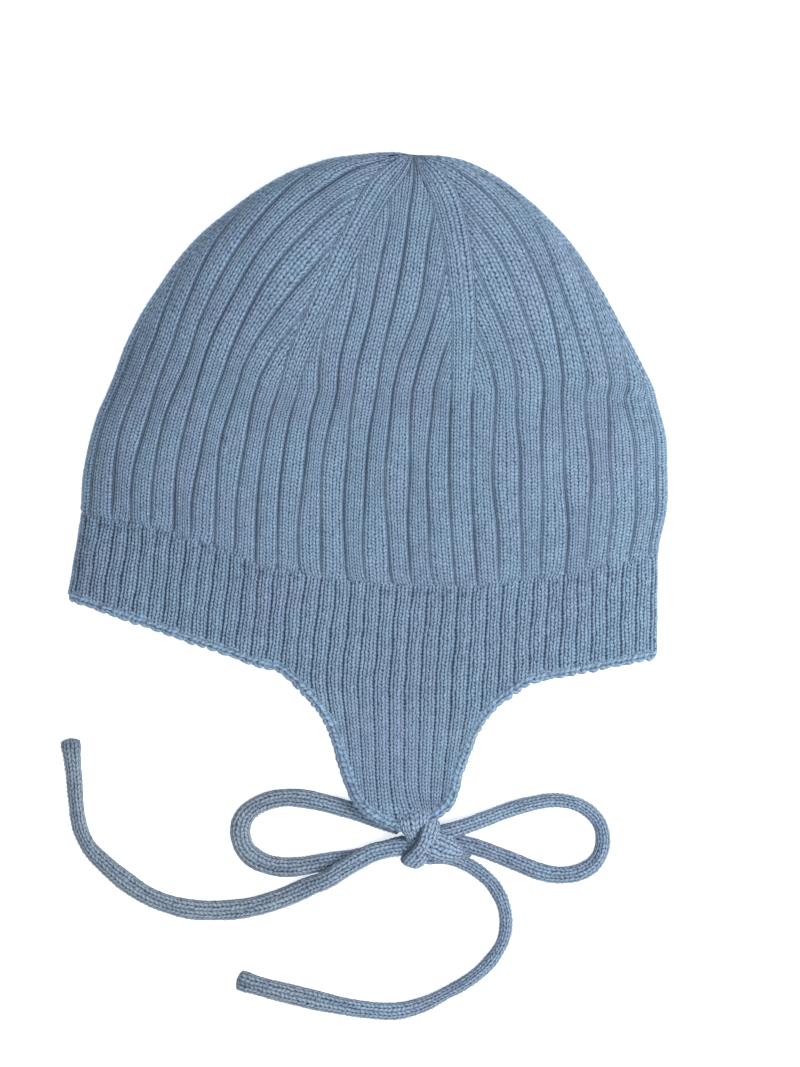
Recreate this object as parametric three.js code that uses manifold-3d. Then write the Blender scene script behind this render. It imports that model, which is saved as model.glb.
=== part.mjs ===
// A knitted baby bonnet with ear flaps, lying flat on its side, its two ties tied in a bow.
// Millimetres. +X runs from the front (forehead) to the back of the head, +Y from the flaps to the crown's
// top, and +Z up from the surface that the bonnet lies on. The origin lies on that surface, under the
// middle of the knitted body's box.
import * as THREE from "three";
import { mergeVertices } from "three/addons/utils/BufferGeometryUtils.js";
import Module from "manifold-3d";

const wasm = await Module();
wasm.setup();

// Driving dimensions
const HAT_WIDTH = 193.4; // across the folded crown, fold to fold
const CROWN_HEIGHT = 141.2; // from the middle of the rim to the top
const BAND_HEIGHT = 36.6; // from the middle of the rim down to the band's lowest edge
const FLAP_WIDTH = 77.6; // where an ear flap leaves the band
const FLAP_LENGTH = 48.8; // from the band's lower edge to an ear flap's tip
const WALL = 3.0; // ribbed cloth, over the rib tops
const FLAP_WALL = 2.4; // an ear flap, over the rib tops
const RIB_DEPTH = 1.1; // a groove between two wide ribs
const FINE_RIB_DEPTH = 0.7; // a groove between two narrow ribs
const EDGE_WIDTH = 3.0; // the cast-off edge, seen from above
const EDGE_THICK = 2.2;
const PUFF = 26.0; // the whole height of the folded crown at its middle
const FOLD_RISE = 5.5; // the middle of a fold, above the surface
const TIP_LIFT = 3.6; // an ear flap's tip, over the tie that runs under it
const GAP = 0.3; // between two pieces that touch
const RIM_GAP = 0.4; // between the crown's rim and the band, whose facets differ
const EDGE_GAP = 0.5; // between an ear flap and the cast-off edge, whose facets differ
const CORD_WIDTH = 5.2; // a tie's mean width, lying flat
const CORD_THICK = 3.2;
const KNOT_WIDTH = 15.6;
const KNOT_LENGTH = 12.4;
const KNOT_HEIGHT = 8.8;
const RIM_X = 1.5; // the middle of the rim, from the origin
const RIM_Y = -30.0;

// Ribs
const SECTIONS = 6; // the crown narrows at six lines of decreases
const RIBS_PER_SECTION = 9;
const RIBS = SECTIONS * RIBS_PER_SECTION;
const FINE_RIBS = 78; // round the band
const FIRST_DECREASE = 0.47; // where the decreases start, as a share of the rows up to the top

// Where the folds and the two visible lines of decreases run. row is the share of the rows from the rim
// (0) to the top (1), and -1 is the band's lower edge. Each place is x as a share of HAT_WIDTH from the
// middle, and y as a share of CROWN_HEIGHT above the middle of the rim.
const SPINES = [
  { row: 0.0, front: [-0.497, 0.161], left: [-0.179, 0.037], right: [0.157, -0.007], back: [0.485, 0.07] },
  { row: 0.12, front: [-0.4915, 0.273], left: [-0.1775, 0.15], right: [0.15, 0.11], back: [0.5, 0.166] },
  { row: 0.24, front: [-0.471, 0.383], left: [-0.1705, 0.264], right: [0.145, 0.224], back: [0.502, 0.269] },
  { row: 0.36, front: [-0.441, 0.486], left: [-0.157, 0.371], right: [0.145, 0.343], back: [0.4965, 0.353] },
  { row: 0.47, front: [-0.409, 0.59], left: [-0.14, 0.446], right: [0.147, 0.451], back: [0.483, 0.428] },
  { row: 0.53, front: [-0.375, 0.6695], left: [-0.1245, 0.516], right: [0.1485, 0.516], back: [0.471, 0.474] },
  { row: 0.65, front: [-0.295, 0.8085], left: [-0.0735, 0.666], right: [0.1485, 0.626], back: [0.396, 0.668] },
  { row: 0.765, front: [-0.1895, 0.9205], left: [-0.0255, 0.801], right: [0.1365, 0.769], back: [0.321, 0.8155] },
  { row: 0.885, front: [-0.087, 0.9835], left: [0.0155, 0.904], right: [0.118, 0.8785], back: [0.234, 0.923] },
  { row: 0.945, front: [-0.009, 0.996], left: [0.041, 0.951], right: [0.097, 0.937], back: [0.155, 0.982] },
  { row: 1.0, front: [0.068, 1.0], left: [0.068, 1.0], right: [0.068, 1.0], back: [0.068, 1.0] },
];
const SPINE_NAMES = ["front", "left", "right", "back"];

// The band's lower edge under the same four lines, as shares of HAT_WIDTH and, below the rim, BAND_HEIGHT.
const BAND_EDGE = {
  front: [-0.521, -0.138],
  left: [-0.179, -0.765],
  right: [0.157, -1.0],
  back: [0.484, -0.667],
};

// How far the rim sags between two of those lines, as a share of CROWN_HEIGHT, from front to back.
const RIM_SAG = [-0.014, 0.013, 0.013];

// How far the wales crowd towards each fold near the top, as a share of their section.
const CROWDING = [-0.09, 0, 0.11];

// The height of the folded bonnet along its middle, as a share of PUFF over the folds.
const PUFF_ALONG = [
  { row: -1.2, share: 0.4 },
  { row: -1.0, share: 0.44 },
  { row: 0.0, share: 0.8 },
  { row: 0.35, share: 1.0 },
];

// An ear flap's outline, from its front root round its tip to its back root. across is a share of
// FLAP_WIDTH from its middle, down a share of FLAP_LENGTH below the band's edge.
const FLAP_OUTLINE = [
  { across: -0.5, down: 0.015 },
  { across: -0.442, down: 0.1 },
  { across: -0.388, down: 0.19 },
  { across: -0.343, down: 0.28 },
  { across: -0.315, down: 0.37 },
  { across: -0.296, down: 0.47 },
  { across: -0.276, down: 0.58 },
  { across: -0.251, down: 0.69 },
  { across: -0.226, down: 0.79 },
  { across: -0.188, down: 0.865 },
  { across: -0.125, down: 0.93 },
  { across: -0.05, down: 0.968 },
  { across: 0.03, down: 0.958 },
  { across: 0.1, down: 0.9 },
  { across: 0.165, down: 0.828 },
  { across: 0.208, down: 0.75 },
  { across: 0.231, down: 0.65 },
  { across: 0.245, down: 0.55 },
  { across: 0.266, down: 0.45 },
  { across: 0.289, down: 0.36 },
  { across: 0.311, down: 0.27 },
  { across: 0.348, down: 0.185 },
  { across: 0.403, down: 0.105 },
  { across: 0.455, down: 0.055 },
  { across: 0.5, down: 0.012 },
];
const FLAP_X = 10.1; // the middle of a flap's root, from the middle of the rim
const FLAP_SETTLES = 0.55; // the share of its length in which the upper flap comes down to the under one
const TIP_LIFTS_FROM = 0.55; // the share of its length where the tip starts to rise

// The ties' routes, chosen by hand: x, y, z of the middle of the cord, and its width as a share of
// CORD_WIDTH.
const FIRST_TIE_LOOP = [
  [10.0, -110.2, 1.7, 1.05], [5.4, -108.7, 1.7, 1.05], [0.5, -107.0, 1.7, 1.08],
  [-4.5, -105.4, 1.7, 1.08], [-9.4, -103.9, 1.7, 1.08], [-15.2, -102.4, 1.7, 1.08],
  [-21.0, -101.2, 1.7, 1.11], [-26.6, -100.8, 1.7, 1.08], [-32.2, -101.6, 1.7, 1.11],
  [-37.1, -103.6, 1.7, 1.14], [-40.3, -106.2, 1.7, 1.21], [-42.0, -109.5, 1.7, 1.21],
  [-42.2, -113.5, 1.7, 1.21], [-40.9, -117.4, 1.7, 1.21], [-38.1, -120.4, 1.7, 1.24],
  [-34.1, -122.5, 1.7, 1.21], [-28.9, -123.7, 1.7, 1.24], [-22.9, -123.5, 1.7, 1.14],
  [-16.7, -122.5, 1.7, 1.08], [-10.4, -121.4, 1.7, 1.05], [-3.8, -120.4, 1.7, 1.02],
  [1.4, -118.9, 1.7, 1.02], [7.1, -117.3, 1.7, 1.02], [12.3, -116.4, 1.7, 1.02],
];
const SECOND_TIE_TAIL = [
  [13.6, -116.4, 5.3, 1.05], [9.7, -116.8, 5.3, 1.05], [5.1, -117.6, 5.3, 1.08],
  [0.5, -119.0, 5.3, 1.11], [-4.1, -121.5, 5.3, 1.14], [-8.7, -124.3, 5.3, 1.14],
  [-13.5, -127.4, 4.7, 1.14], [-18.9, -129.6, 3.1, 1.17], [-26.2, -133.0, 1.7, 1.21],
  [-35.7, -136.2, 1.7, 1.21], [-43.5, -137.6, 1.7, 1.24], [-51.4, -138.0, 1.7, 1.17],
  [-59.2, -137.5, 1.7, 1.21], [-66.8, -135.6, 1.7, 1.14], [-74.1, -132.4, 1.7, 1.14],
  [-80.5, -128.0, 1.7, 1.17], [-86.7, -122.8, 1.7, 1.08], [-92.0, -117.2, 1.7, 0.98],
  [-95.1, -110.7, 1.7, 0.92], [-96.4, -102.2, 1.7, 0.9], [-97.0, -94.3, 1.7, 0.97],
  [-97.8, -86.4, 1.7, 1.1], [-98.2, -82.3, 1.7, 1.05],
];
const SECOND_TIE_LOOP = [
  [18.2, -113.8, 5.3, 0.95], [22.8, -112.5, 5.3, 0.98], [27.1, -111.4, 5.3, 0.98],
  [31.0, -110.2, 5.0, 0.98], [35.1, -108.9, 3.9, 0.97], [40.0, -107.2, 2.4, 0.95],
  [46.2, -104.9, 1.7, 0.91], [53.8, -102.8, 1.7, 0.89], [60.4, -101.7, 1.7, 0.86],
  [66.4, -102.3, 1.7, 0.86], [71.0, -104.1, 1.7, 0.82], [74.6, -107.2, 1.7, 0.82],
  [76.8, -111.3, 1.7, 0.86], [77.1, -116.4, 1.7, 0.89], [75.7, -120.5, 1.7, 0.95],
  [72.5, -123.9, 1.7, 1.05], [67.3, -126.0, 1.7, 1.02], [61.4, -126.2, 1.7, 1.02],
  [55.5, -124.9, 1.7, 1.03], [49.2, -122.3, 1.7, 1.05], [42.3, -119.6, 1.7, 1.02],
  [36.1, -117.3, 1.7, 1.0], [30.8, -115.8, 1.7, 0.95], [25.2, -114.6, 1.7, 0.95],
  [18.3, -114.1, 1.7, 0.95],
];
const FIRST_TIE_TAIL = [
  [18.9, -120.4, 1.7, 0.82], [23.5, -120.5, 1.7, 0.82], [28.1, -121.2, 1.7, 0.82],
  [33.1, -123.2, 1.7, 0.84], [37.0, -125.8, 1.7, 0.84], [40.5, -129.0, 1.7, 0.82],
  [43.2, -133.2, 1.7, 0.82], [44.8, -137.7, 1.7, 0.82], [45.3, -142.3, 1.7, 0.81],
  [44.7, -146.6, 1.7, 0.78], [43.0, -150.5, 1.7, 0.78], [40.0, -154.8, 1.7, 0.81],
  [35.9, -158.8, 1.7, 0.81], [30.8, -162.4, 1.7, 0.81], [24.8, -165.6, 1.7, 0.81],
  [18.9, -168.6, 1.7, 0.91], [11.1, -170.9, 1.7, 1.02], [3.3, -171.1, 1.7, 1.05],
  [-8.5, -169.5, 1.7, 1.09], [-20.1, -166.9, 1.7, 1.21], [-31.6, -164.1, 1.7, 1.21],
  [-38.4, -162.2, 1.7, 1.18], [-42.4, -160.9, 1.7, 1.08],
];
const KNOT_PLACE = [14.4, -117.5];
const CORD_SIDES = 8;

// How finely the pieces are faceted
const RIB_SHOULDER = 0.28; // where a wide rib's flat top starts, as a share of its width
const CROWN_ROWS = 13;
const CROWN_INSIDE_ROWS = 8;
const BAND_ROWS = 3;
const FLAP_ROWS = 5;
const FLAP_INSIDE_COLUMNS = 12;
const EDGE_STEPS = 76; // along one side of the brim
const EDGE_SIDES = 6;

const mix = (a, b, share) => a + (b - a) * share;
const clamp = (value, low, high) => Math.min(Math.max(value, low), high);
const ease = (share) => share * share * (3 - 2 * share);

// A smooth curve through a table's rows: cubic pieces whose slopes are the mean slopes on both sides.
function along(table, key, value, at) {
  const last = table.length - 1;
  const x = clamp(at, table[0][key], table[last][key]);
  let i = 0;
  while (i < last - 1 && x > table[i + 1][key]) i += 1;
  const slope = (k) => {
    const a = table[Math.max(k - 1, 0)];
    const b = table[Math.min(k + 1, last)];
    return (value(b) - value(a)) / (b[key] - a[key]);
  };
  const span = table[i + 1][key] - table[i][key];
  const t = (x - table[i][key]) / span;
  const from = value(table[i]) * (1 + 2 * t) * (1 - t) * (1 - t) + slope(i) * span * t * (1 - t) * (1 - t);
  const to = value(table[i + 1]) * t * t * (3 - 2 * t) + slope(i + 1) * span * t * t * (t - 1);
  return from + to;
}

// One of the four lines at a row, in plan.
function spine(name, row) {
  const x = along(SPINES, "row", (r) => r[name][0], row) * HAT_WIDTH;
  const y = along(SPINES, "row", (r) => r[name][1], row) * CROWN_HEIGHT;
  if (row >= 0) return [x, y];
  const edge = [BAND_EDGE[name][0] * HAT_WIDTH, BAND_EDGE[name][1] * BAND_HEIGHT];
  return [mix(x, edge[0], -row), mix(y, edge[1], -row)];
}

// The four lines' places at a row, and how far across the row each stands, from -1 (front) to 1 (back).
function course(row) {
  const at = SPINE_NAMES.map((name) => spine(name, row));
  const lengths = [0, 1, 2].map((i) => Math.hypot(at[i + 1][0] - at[i][0], at[i + 1][1] - at[i][1]));
  const whole = lengths[0] + lengths[1] + lengths[2];
  if (whole < 1e-6) return { at, across: [-1, -1 / 3, 1 / 3, 1] };
  const first = -1 + (2 * lengths[0]) / whole;
  return { at, across: [-1, first, first + (2 * lengths[1]) / whole, 1] };
}

// A row's place in plan, from its share across.
function plan(u, row) {
  const { at, across } = course(row);
  let i = 0;
  while (i < 2 && u > across[i + 1]) i += 1;
  const share = (u - across[i]) / (across[i + 1] - across[i]);
  const fade = row < 0 ? Math.max(0, 1 + row) : 1 - row;
  const sag = RIM_SAG[i] * CROWN_HEIGHT * fade * 4 * share * (1 - share);
  const x = mix(at[i][0], at[i + 1][0], share);
  const y = mix(at[i][1], at[i + 1][1], share) - sag;
  return [x + RIM_X, y + RIM_Y];
}

// The band's row that lies a distance above its lower edge.
function rowAboveEdge(u, distance) {
  const [topX, topY] = plan(u, 0);
  const [x, y] = plan(u, -1);
  return -1 + distance / Math.hypot(topX - x, topY - y);
}

// The bonnet's outer form without ribs. turn runs round it: 0 to 1 is the upper side from the front fold
// to the back fold, and 1 to 2 the under side back again.
function form(turn, row) {
  const round = ((turn % 2) + 2) % 2;
  const upper = round <= 1;
  const u = upper ? 2 * round - 1 : 3 - 2 * round;
  const [x, y] = plan(u, row);
  const beyond = Math.max(0, (row - 0.35) / 0.65);
  const closing = Math.sqrt(Math.max(0, 1 - beyond ** 2.2));
  const puff = along(PUFF_ALONG, "row", (r) => r.share, row) * closing;
  if (upper) return [x, y, FOLD_RISE + (PUFF - FOLD_RISE) * puff * (1 - Math.abs(u) ** 2.6) ** 0.55];
  const side = Math.max(0, (Math.abs(u) - 0.86) / 0.14);
  const end = Math.max(0, (row - 0.8) / 0.2);
  const flat = Math.sqrt(Math.max(0, 1 - side * side)) * Math.sqrt(Math.max(0, 1 - end * end));
  return [x, y, FOLD_RISE * (1 - flat)];
}

// The outward direction of that form.
function outward(turn, row) {
  if (row > 0.995) return new THREE.Vector3(0, 1, 0);
  const round = 0.004; // a share of a turn
  const rise = 0.03; // a share of the rows, wide enough to smooth the bend at the rim
  const a = new THREE.Vector3(...form(turn + round, row)).sub(new THREE.Vector3(...form(turn - round, row)));
  const b = new THREE.Vector3(...form(turn, row + rise)).sub(new THREE.Vector3(...form(turn, row - rise)));
  return a.cross(b).normalize();
}

// A point of the wall at a depth under the outer form.
function wallPoint(turn, row, depth) {
  return new THREE.Vector3(...form(turn, row)).addScaledVector(outward(turn, row), -depth);
}

// Where a wale stands at a row, as a turn round the bonnet. Wales count up from the front fold, and half
// of a section's wales have ended at each of its two lines of decreases when it reaches the top.
function waleTurn(wale, row) {
  const half = RIBS / 2;
  const upper = wale <= half;
  const side = upper ? wale : RIBS - wale;
  const section = Math.min(2, Math.floor(side / RIBS_PER_SECTION));
  const ended = (Math.max(0, row - FIRST_DECREASE) / (1 - FIRST_DECREASE)) * (RIBS_PER_SECTION / 2);
  const left = RIBS_PER_SECTION - 2 * ended;
  const plain = left < 1e-6 ? 0.5 : clamp((side - section * RIBS_PER_SECTION - ended) / left, 0, 1);
  const crowd = CROWDING[section] * clamp((row - FIRST_DECREASE) / 0.25, 0, 1);
  const share = plain + crowd * 4 * plain * (1 - plain);
  const { across } = course(row);
  const turn = (mix(across[section], across[section + 1], share) + 1) / 2;
  return upper ? turn : 2 - turn;
}

// A wide rib's depth under the outer form: a groove at each half number, a flat top between.
function ribDepth(wale) {
  const off = Math.abs((((wale - 0.5) % 1) + 1) % 1);
  const side = Math.min(off, 1 - off);
  return RIB_DEPTH * (1 - clamp(side / RIB_SHOULDER, 0, 1));
}

// A piece's triangles, with the points that several of them share.
class Facets {
  constructor() {
    this.points = [];
    this.faces = [];
  }
  add(point) {
    this.points.push(point);
    return this.points.length - 1;
  }
  quad(a, b, c, d) {
    this.faces.push([a, b, c], [a, c, d]);
  }
  // Quads between neighbouring columns of point numbers. A ring's last column meets its first.
  columns(list, ring, flip) {
    const count = ring ? list.length : list.length - 1;
    for (let i = 0; i < count; i += 1) {
      const a = list[i];
      const b = list[(i + 1) % list.length];
      for (let j = 0; j + 1 < a.length; j += 1) {
        if (flip) this.quad(a[j], a[j + 1], b[j + 1], b[j]);
        else this.quad(a[j], b[j], b[j + 1], a[j + 1]);
      }
    }
  }
  // A strip between two lines of point numbers, whose places along the strip are given.
  strip(one, oneAt, two, twoAt, flip) {
    let i = 0;
    let j = 0;
    while (i + 1 < one.length || j + 1 < two.length) {
      const first = j + 1 >= two.length || (i + 1 < one.length && oneAt[i + 1] <= twoAt[j + 1]);
      const face = first ? [one[i], one[i + 1], two[j]] : [one[i], two[j + 1], two[j]];
      this.faces.push(flip ? face.reverse() : face);
      if (first) i += 1;
      else j += 1;
    }
  }
  geometry() {
    const geometry = new THREE.BufferGeometry();
    const flat = this.faces.flatMap((face) => face.flatMap((i) => this.points[i].toArray()));
    geometry.setAttribute("position", new THREE.Float32BufferAttribute(flat, 3));
    geometry.computeVertexNormals();
    return geometry;
  }
}

// The columns of a layer of the crown, each from the rim to where its wale ends. Two wales that end at one
// point of a line of decreases share that point.
function crownLayer(facets, wales, rows, depth) {
  const ends = new Map();
  const endOf = (wale) => {
    const section = Math.floor(wale / RIBS_PER_SECTION) % SECTIONS;
    const inside = wale - Math.floor(wale / RIBS_PER_SECTION) * RIBS_PER_SECTION;
    const first = inside <= RIBS_PER_SECTION / 2;
    const line = first ? section : (section + 1) % SECTIONS;
    const off = first ? inside : RIBS_PER_SECTION - inside;
    const atTop = Math.abs(off - RIBS_PER_SECTION / 2) < 1e-6;
    const key = atTop ? "top" : `${line} ${off.toFixed(4)}`;
    const row = mix(FIRST_DECREASE, 1, off / (RIBS_PER_SECTION / 2));
    if (!ends.has(key)) ends.set(key, facets.add(wallPoint(waleTurn(wale, row), row, depth(wale))));
    return { row, point: ends.get(key) };
  };
  return wales.map((wale) => {
    const end = endOf(wale);
    const column = [];
    for (let j = 0; j < rows; j += 1) {
      const row = (end.row * j) / rows;
      column.push(facets.add(wallPoint(waleTurn(wale, row), row, depth(wale))));
    }
    column.push(end.point);
    return column;
  });
}

// The wales that the smooth inside of the wall is divided at: one a rib, and each section's middle.
function plainWales() {
  const wales = [];
  for (let rib = 0; rib < RIBS; rib += 1) {
    wales.push(rib);
    if (rib % RIBS_PER_SECTION === Math.floor(RIBS_PER_SECTION / 2)) wales.push(rib + 0.5);
  }
  return wales;
}

// The crown: a hollow wall of wide ribs, closed at the top and open at the rim.
function makeCrown() {
  const facets = new Facets();
  const outsideWales = [];
  for (let rib = 0; rib < RIBS; rib += 1) {
    if (rib % RIBS_PER_SECTION === 0) outsideWales.push(rib);
    outsideWales.push(rib + 0.5 - RIB_SHOULDER, rib + 0.5, rib + 0.5 + RIB_SHOULDER);
  }
  const insideWales = plainWales();
  const outside = crownLayer(facets, outsideWales, CROWN_ROWS, ribDepth);
  const inside = crownLayer(facets, insideWales, CROWN_INSIDE_ROWS, () => WALL);
  facets.columns(outside, true, false);
  facets.columns(inside, true, true);
  const ring = (columns) => [...columns.map((c) => c[0]), columns[0][0]];
  facets.strip(ring(outside), [...outsideWales, RIBS], ring(inside), [...insideWales, RIBS], true);
  return facets.geometry();
}

// The band: a ring of narrow ribs under the crown, open above and below.
function makeBand() {
  const facets = new Facets();
  const highest = -RIM_GAP / BAND_HEIGHT;
  const layer = (turns, depths, rows) =>
    turns.map((turn, i) => {
      const column = [];
      for (let j = 0; j <= rows; j += 1) {
        const u = turn <= 1 ? 2 * turn - 1 : 3 - 2 * turn;
        const row = mix(rowAboveEdge(u, EDGE_WIDTH + GAP), highest, j / rows);
        column.push(facets.add(wallPoint(turn, row, depths[i])));
      }
      return column;
    });
  const outsideTurns = Array.from({ length: 2 * FINE_RIBS }, (_, i) => i / FINE_RIBS);
  const insideTurns = plainWales().map((wale) => waleTurn(wale, 0));
  const outside = layer(outsideTurns, outsideTurns.map((_, i) => (i % 2) * FINE_RIB_DEPTH), BAND_ROWS);
  const inside = layer(insideTurns, insideTurns.map(() => WALL), 2);
  facets.columns(outside, true, false);
  facets.columns(inside, true, true);
  for (const end of [0, -1]) {
    const ring = (columns) => [...columns.map((c) => c.at(end)), columns[0].at(end)];
    facets.strip(ring(outside), [...outsideTurns, 2], ring(inside), [...insideTurns, 2], end === 0);
  }
  return facets.geometry();
}

// The smooth outline of an ear flap in plan, moved inwards by inset, as a table of x and y.
function flapOutline(inset) {
  const outline = FLAP_OUTLINE.map(({ across, down }) => {
    const x = RIM_X + FLAP_X + across * FLAP_WIDTH;
    return new THREE.Vector3(x, edgeY(x) - down * FLAP_LENGTH, 0);
  });
  const curve = new THREE.CatmullRomCurve3(outline, false, "centripetal");
  const count = 4 * FLAP_OUTLINE.length;
  return Array.from({ length: count + 1 }, (_, i) => {
    const at = curve.getPoint(i / count);
    const tangent = curve.getTangent(i / count);
    return { x: at.x - tangent.y * inset, y: at.y + tangent.x * inset };
  });
}

// The share across a row at an x, found by halving the row's span.
function shareAcross(x, row) {
  let low = -1;
  let high = 1;
  for (let i = 0; i < 40; i += 1) {
    const middle = (low + high) / 2;
    if (plan(middle, row)[0] < x) low = middle;
    else high = middle;
  }
  return low;
}

// The y of the band's lower edge at an x, or of the line a distance above it.
function edgeY(x, above = 0) {
  const u = shareAcross(x, -1);
  return plan(u, rowAboveEdge(u, above))[1];
}

// How far down its flap a place is, as a share of FLAP_LENGTH.
const downFlap = (x, y) => (edgeY(x) - y) / FLAP_LENGTH;

// The top of an ear flap's cloth over its rib tops. The upper flap leaves the band's upper side and comes
// down to the under one, which lies on the surface. Both rise at the tip.
function flapHeight(upper, x, y) {
  const down = downFlap(x, y);
  const rise = clamp((down - TIP_LIFTS_FROM) / (0.92 - TIP_LIFTS_FROM), 0, 1);
  const lift = TIP_LIFT * ease(rise);
  if (!upper) return lift + FLAP_WALL;
  const rest = lift + 2 * FLAP_WALL + GAP;
  const band = form((shareAcross(x, -1) + 1) / 2, -1)[2];
  return mix(band, rest, ease(clamp(down / FLAP_SETTLES, 0, 1)));
}

// An ear flap: a slab of narrow ribs that run straight down, between the band's edge and the outline.
function makeFlap(upper) {
  const facets = new Facets();
  const outline = flapOutline(EDGE_WIDTH + EDGE_GAP);
  const turnIn = outline.reduce((best, p, i) => (p.x < outline[best].x ? i : best), 0);
  const turnOut = outline.reduce((best, p, i) => (p.x > outline[best].x ? i : best), 0);
  const line = outline.slice(turnIn, turnOut + 1).map((p) => ({ x: p.x, y: p.y }));
  const bottom = (x) => {
    let i = 0;
    while (i < line.length - 2 && x > line[i + 1].x) i += 1;
    return mix(line[i].y, line[i + 1].y, clamp((x - line[i].x) / (line[i + 1].x - line[i].x), 0, 1));
  };
  const top = (x) => edgeY(x, EDGE_WIDTH + GAP) - 2 * GAP;
  const ribX = [];
  for (let i = 0; i <= FINE_RIBS; i += 1) {
    const x = plan((2 * i) / FINE_RIBS - 1, -1)[0];
    const within = x > line[0].x && x < line.at(-1).x;
    if (within && top(x) - bottom(x) > 1) ribX.push({ x, depth: (i % 2) * FINE_RIB_DEPTH });
  }
  const first = ribX[0].x;
  const last = ribX.at(-1).x;
  const inner = [];
  for (let i = 0; i <= FLAP_INSIDE_COLUMNS; i += 1) inner.push(mix(first, last, i / FLAP_INSIDE_COLUMNS));
  const face = (list, depths, over, rows) =>
    list.map((x, i) => {
      const column = [];
      for (let j = 0; j <= rows; j += 1) {
        const y = mix(bottom(x), top(x), j / rows);
        const height = flapHeight(upper, x, y);
        const z = over ? height - depths[i] : height - FLAP_WALL + depths[i];
        column.push(facets.add(new THREE.Vector3(x, y, z)));
      }
      return column;
    });
  const ribs = ribX.map((rib) => rib.x);
  const ribbed = face(ribs, ribX.map((rib) => rib.depth), upper, FLAP_ROWS);
  const plain = face(inner, inner.map(() => 0), !upper, FLAP_ROWS);
  facets.columns(ribbed, false, !upper);
  facets.columns(plain, false, upper);
  facets.strip(ribbed.map((c) => c[0]), ribs, plain.map((c) => c[0]), inner, upper);
  facets.strip(ribbed.map((c) => c.at(-1)), ribs, plain.map((c) => c.at(-1)), inner, !upper);
  facets.columns([ribbed[0], plain[0]], false, upper);
  facets.columns([ribbed.at(-1), plain.at(-1)], false, !upper);
  return facets.geometry();
}

// The middle of the cast-off edge on one side of the bonnet, with the cloth's outward direction there.
function edgeLine(upper) {
  const inset = EDGE_WIDTH / 2;
  const outline = flapOutline(inset);
  const start = shareAcross(outline[0].x, -1);
  const end = shareAcross(outline.at(-1).x, -1);
  const list = [];
  const band = (u) => {
    const turn = upper ? (u + 1) / 2 : 2 - (u + 1) / 2;
    const row = rowAboveEdge(u, inset);
    list.push({ at: wallPoint(turn, row, WALL / 2), out: outward(turn, row) });
  };
  const count = 24;
  const clear = 0.03;
  for (let i = 0; i <= count; i += 1) band(mix(-1, start - clear, i / count));
  for (const p of outline.slice(3, -3)) {
    const z = flapHeight(upper, p.x, Math.min(p.y, edgeY(p.x))) - FLAP_WALL / 2;
    list.push({ at: new THREE.Vector3(p.x, p.y, z), out: new THREE.Vector3(0, 0, upper ? 1 : -1) });
  }
  for (let i = 0; i <= count; i += 1) band(mix(end + clear, 1, i / count));
  return list;
}

// The cast-off edge: one closed ring of thick chain round the band's lower edge and both ear flaps.
function makeCastOffEdge() {
  const upper = edgeLine(true);
  const under = edgeLine(false).reverse();
  const loop = [...upper, ...under.slice(1, -1)];
  const curve = new THREE.CatmullRomCurve3(loop.map((p) => p.at), true, "centripetal");
  const steps = 2 * EDGE_STEPS;
  const facets = new Facets();
  const rings = Array.from({ length: steps }, (_, i) => {
    const share = i / steps;
    const at = curve.getPoint(share);
    const tangent = curve.getTangent(share);
    const place = share * loop.length;
    const from = loop[Math.floor(place) % loop.length].out;
    const to = loop[(Math.floor(place) + 1) % loop.length].out;
    const out = from.clone().lerp(to, place % 1).normalize();
    const side = tangent.clone().cross(out).normalize();
    const up = side.clone().cross(tangent).normalize();
    return Array.from({ length: EDGE_SIDES + 1 }, (_, k) => {
      const angle = (2 * Math.PI * (k + 0.5)) / EDGE_SIDES;
      if (k === EDGE_SIDES) return 0;
      const point = at.clone().addScaledVector(side, (Math.cos(angle) * EDGE_WIDTH) / 2);
      return facets.add(point.addScaledVector(up, (Math.sin(angle) * EDGE_THICK) / 2));
    }).map((id, k, ring) => (k === EDGE_SIDES ? ring[0] : id));
  });
  facets.columns(rings, true, false);
  return facets.geometry();
}

// A closed geometry as a solid that can be cut.
function solidOf(geometry) {
  const bare = geometry.clone();
  for (const name of ["normal", "uv"]) if (bare.hasAttribute(name)) bare.deleteAttribute(name);
  const merged = mergeVertices(bare, 1e-4);
  const vertProperties = merged.attributes.position.array;
  const triVerts = new Uint32Array(merged.index.array);
  return new wasm.Manifold(new wasm.Mesh({ numProp: 3, vertProperties, triVerts }));
}

// A solid's surface as a geometry.
function geometryOf(solid) {
  const mesh = solid.getMesh();
  const geometry = new THREE.BufferGeometry();
  geometry.setAttribute("position", new THREE.BufferAttribute(mesh.vertProperties, mesh.numProp));
  geometry.setIndex(Array.from(mesh.triVerts));
  geometry.computeVertexNormals();
  return geometry;
}

// The middle of the bow: a rounded lump on the surface, grown by a margin all round.
function makeKnot(margin) {
  const knot = new THREE.SphereGeometry(0.5, 14, 9);
  knot.rotateX(Math.PI / 2);
  knot.scale(KNOT_WIDTH + 2 * margin, KNOT_LENGTH + 2 * margin, KNOT_HEIGHT + 2 * margin);
  knot.translate(KNOT_PLACE[0], KNOT_PLACE[1], KNOT_HEIGHT / 2);
  return knot;
}

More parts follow.
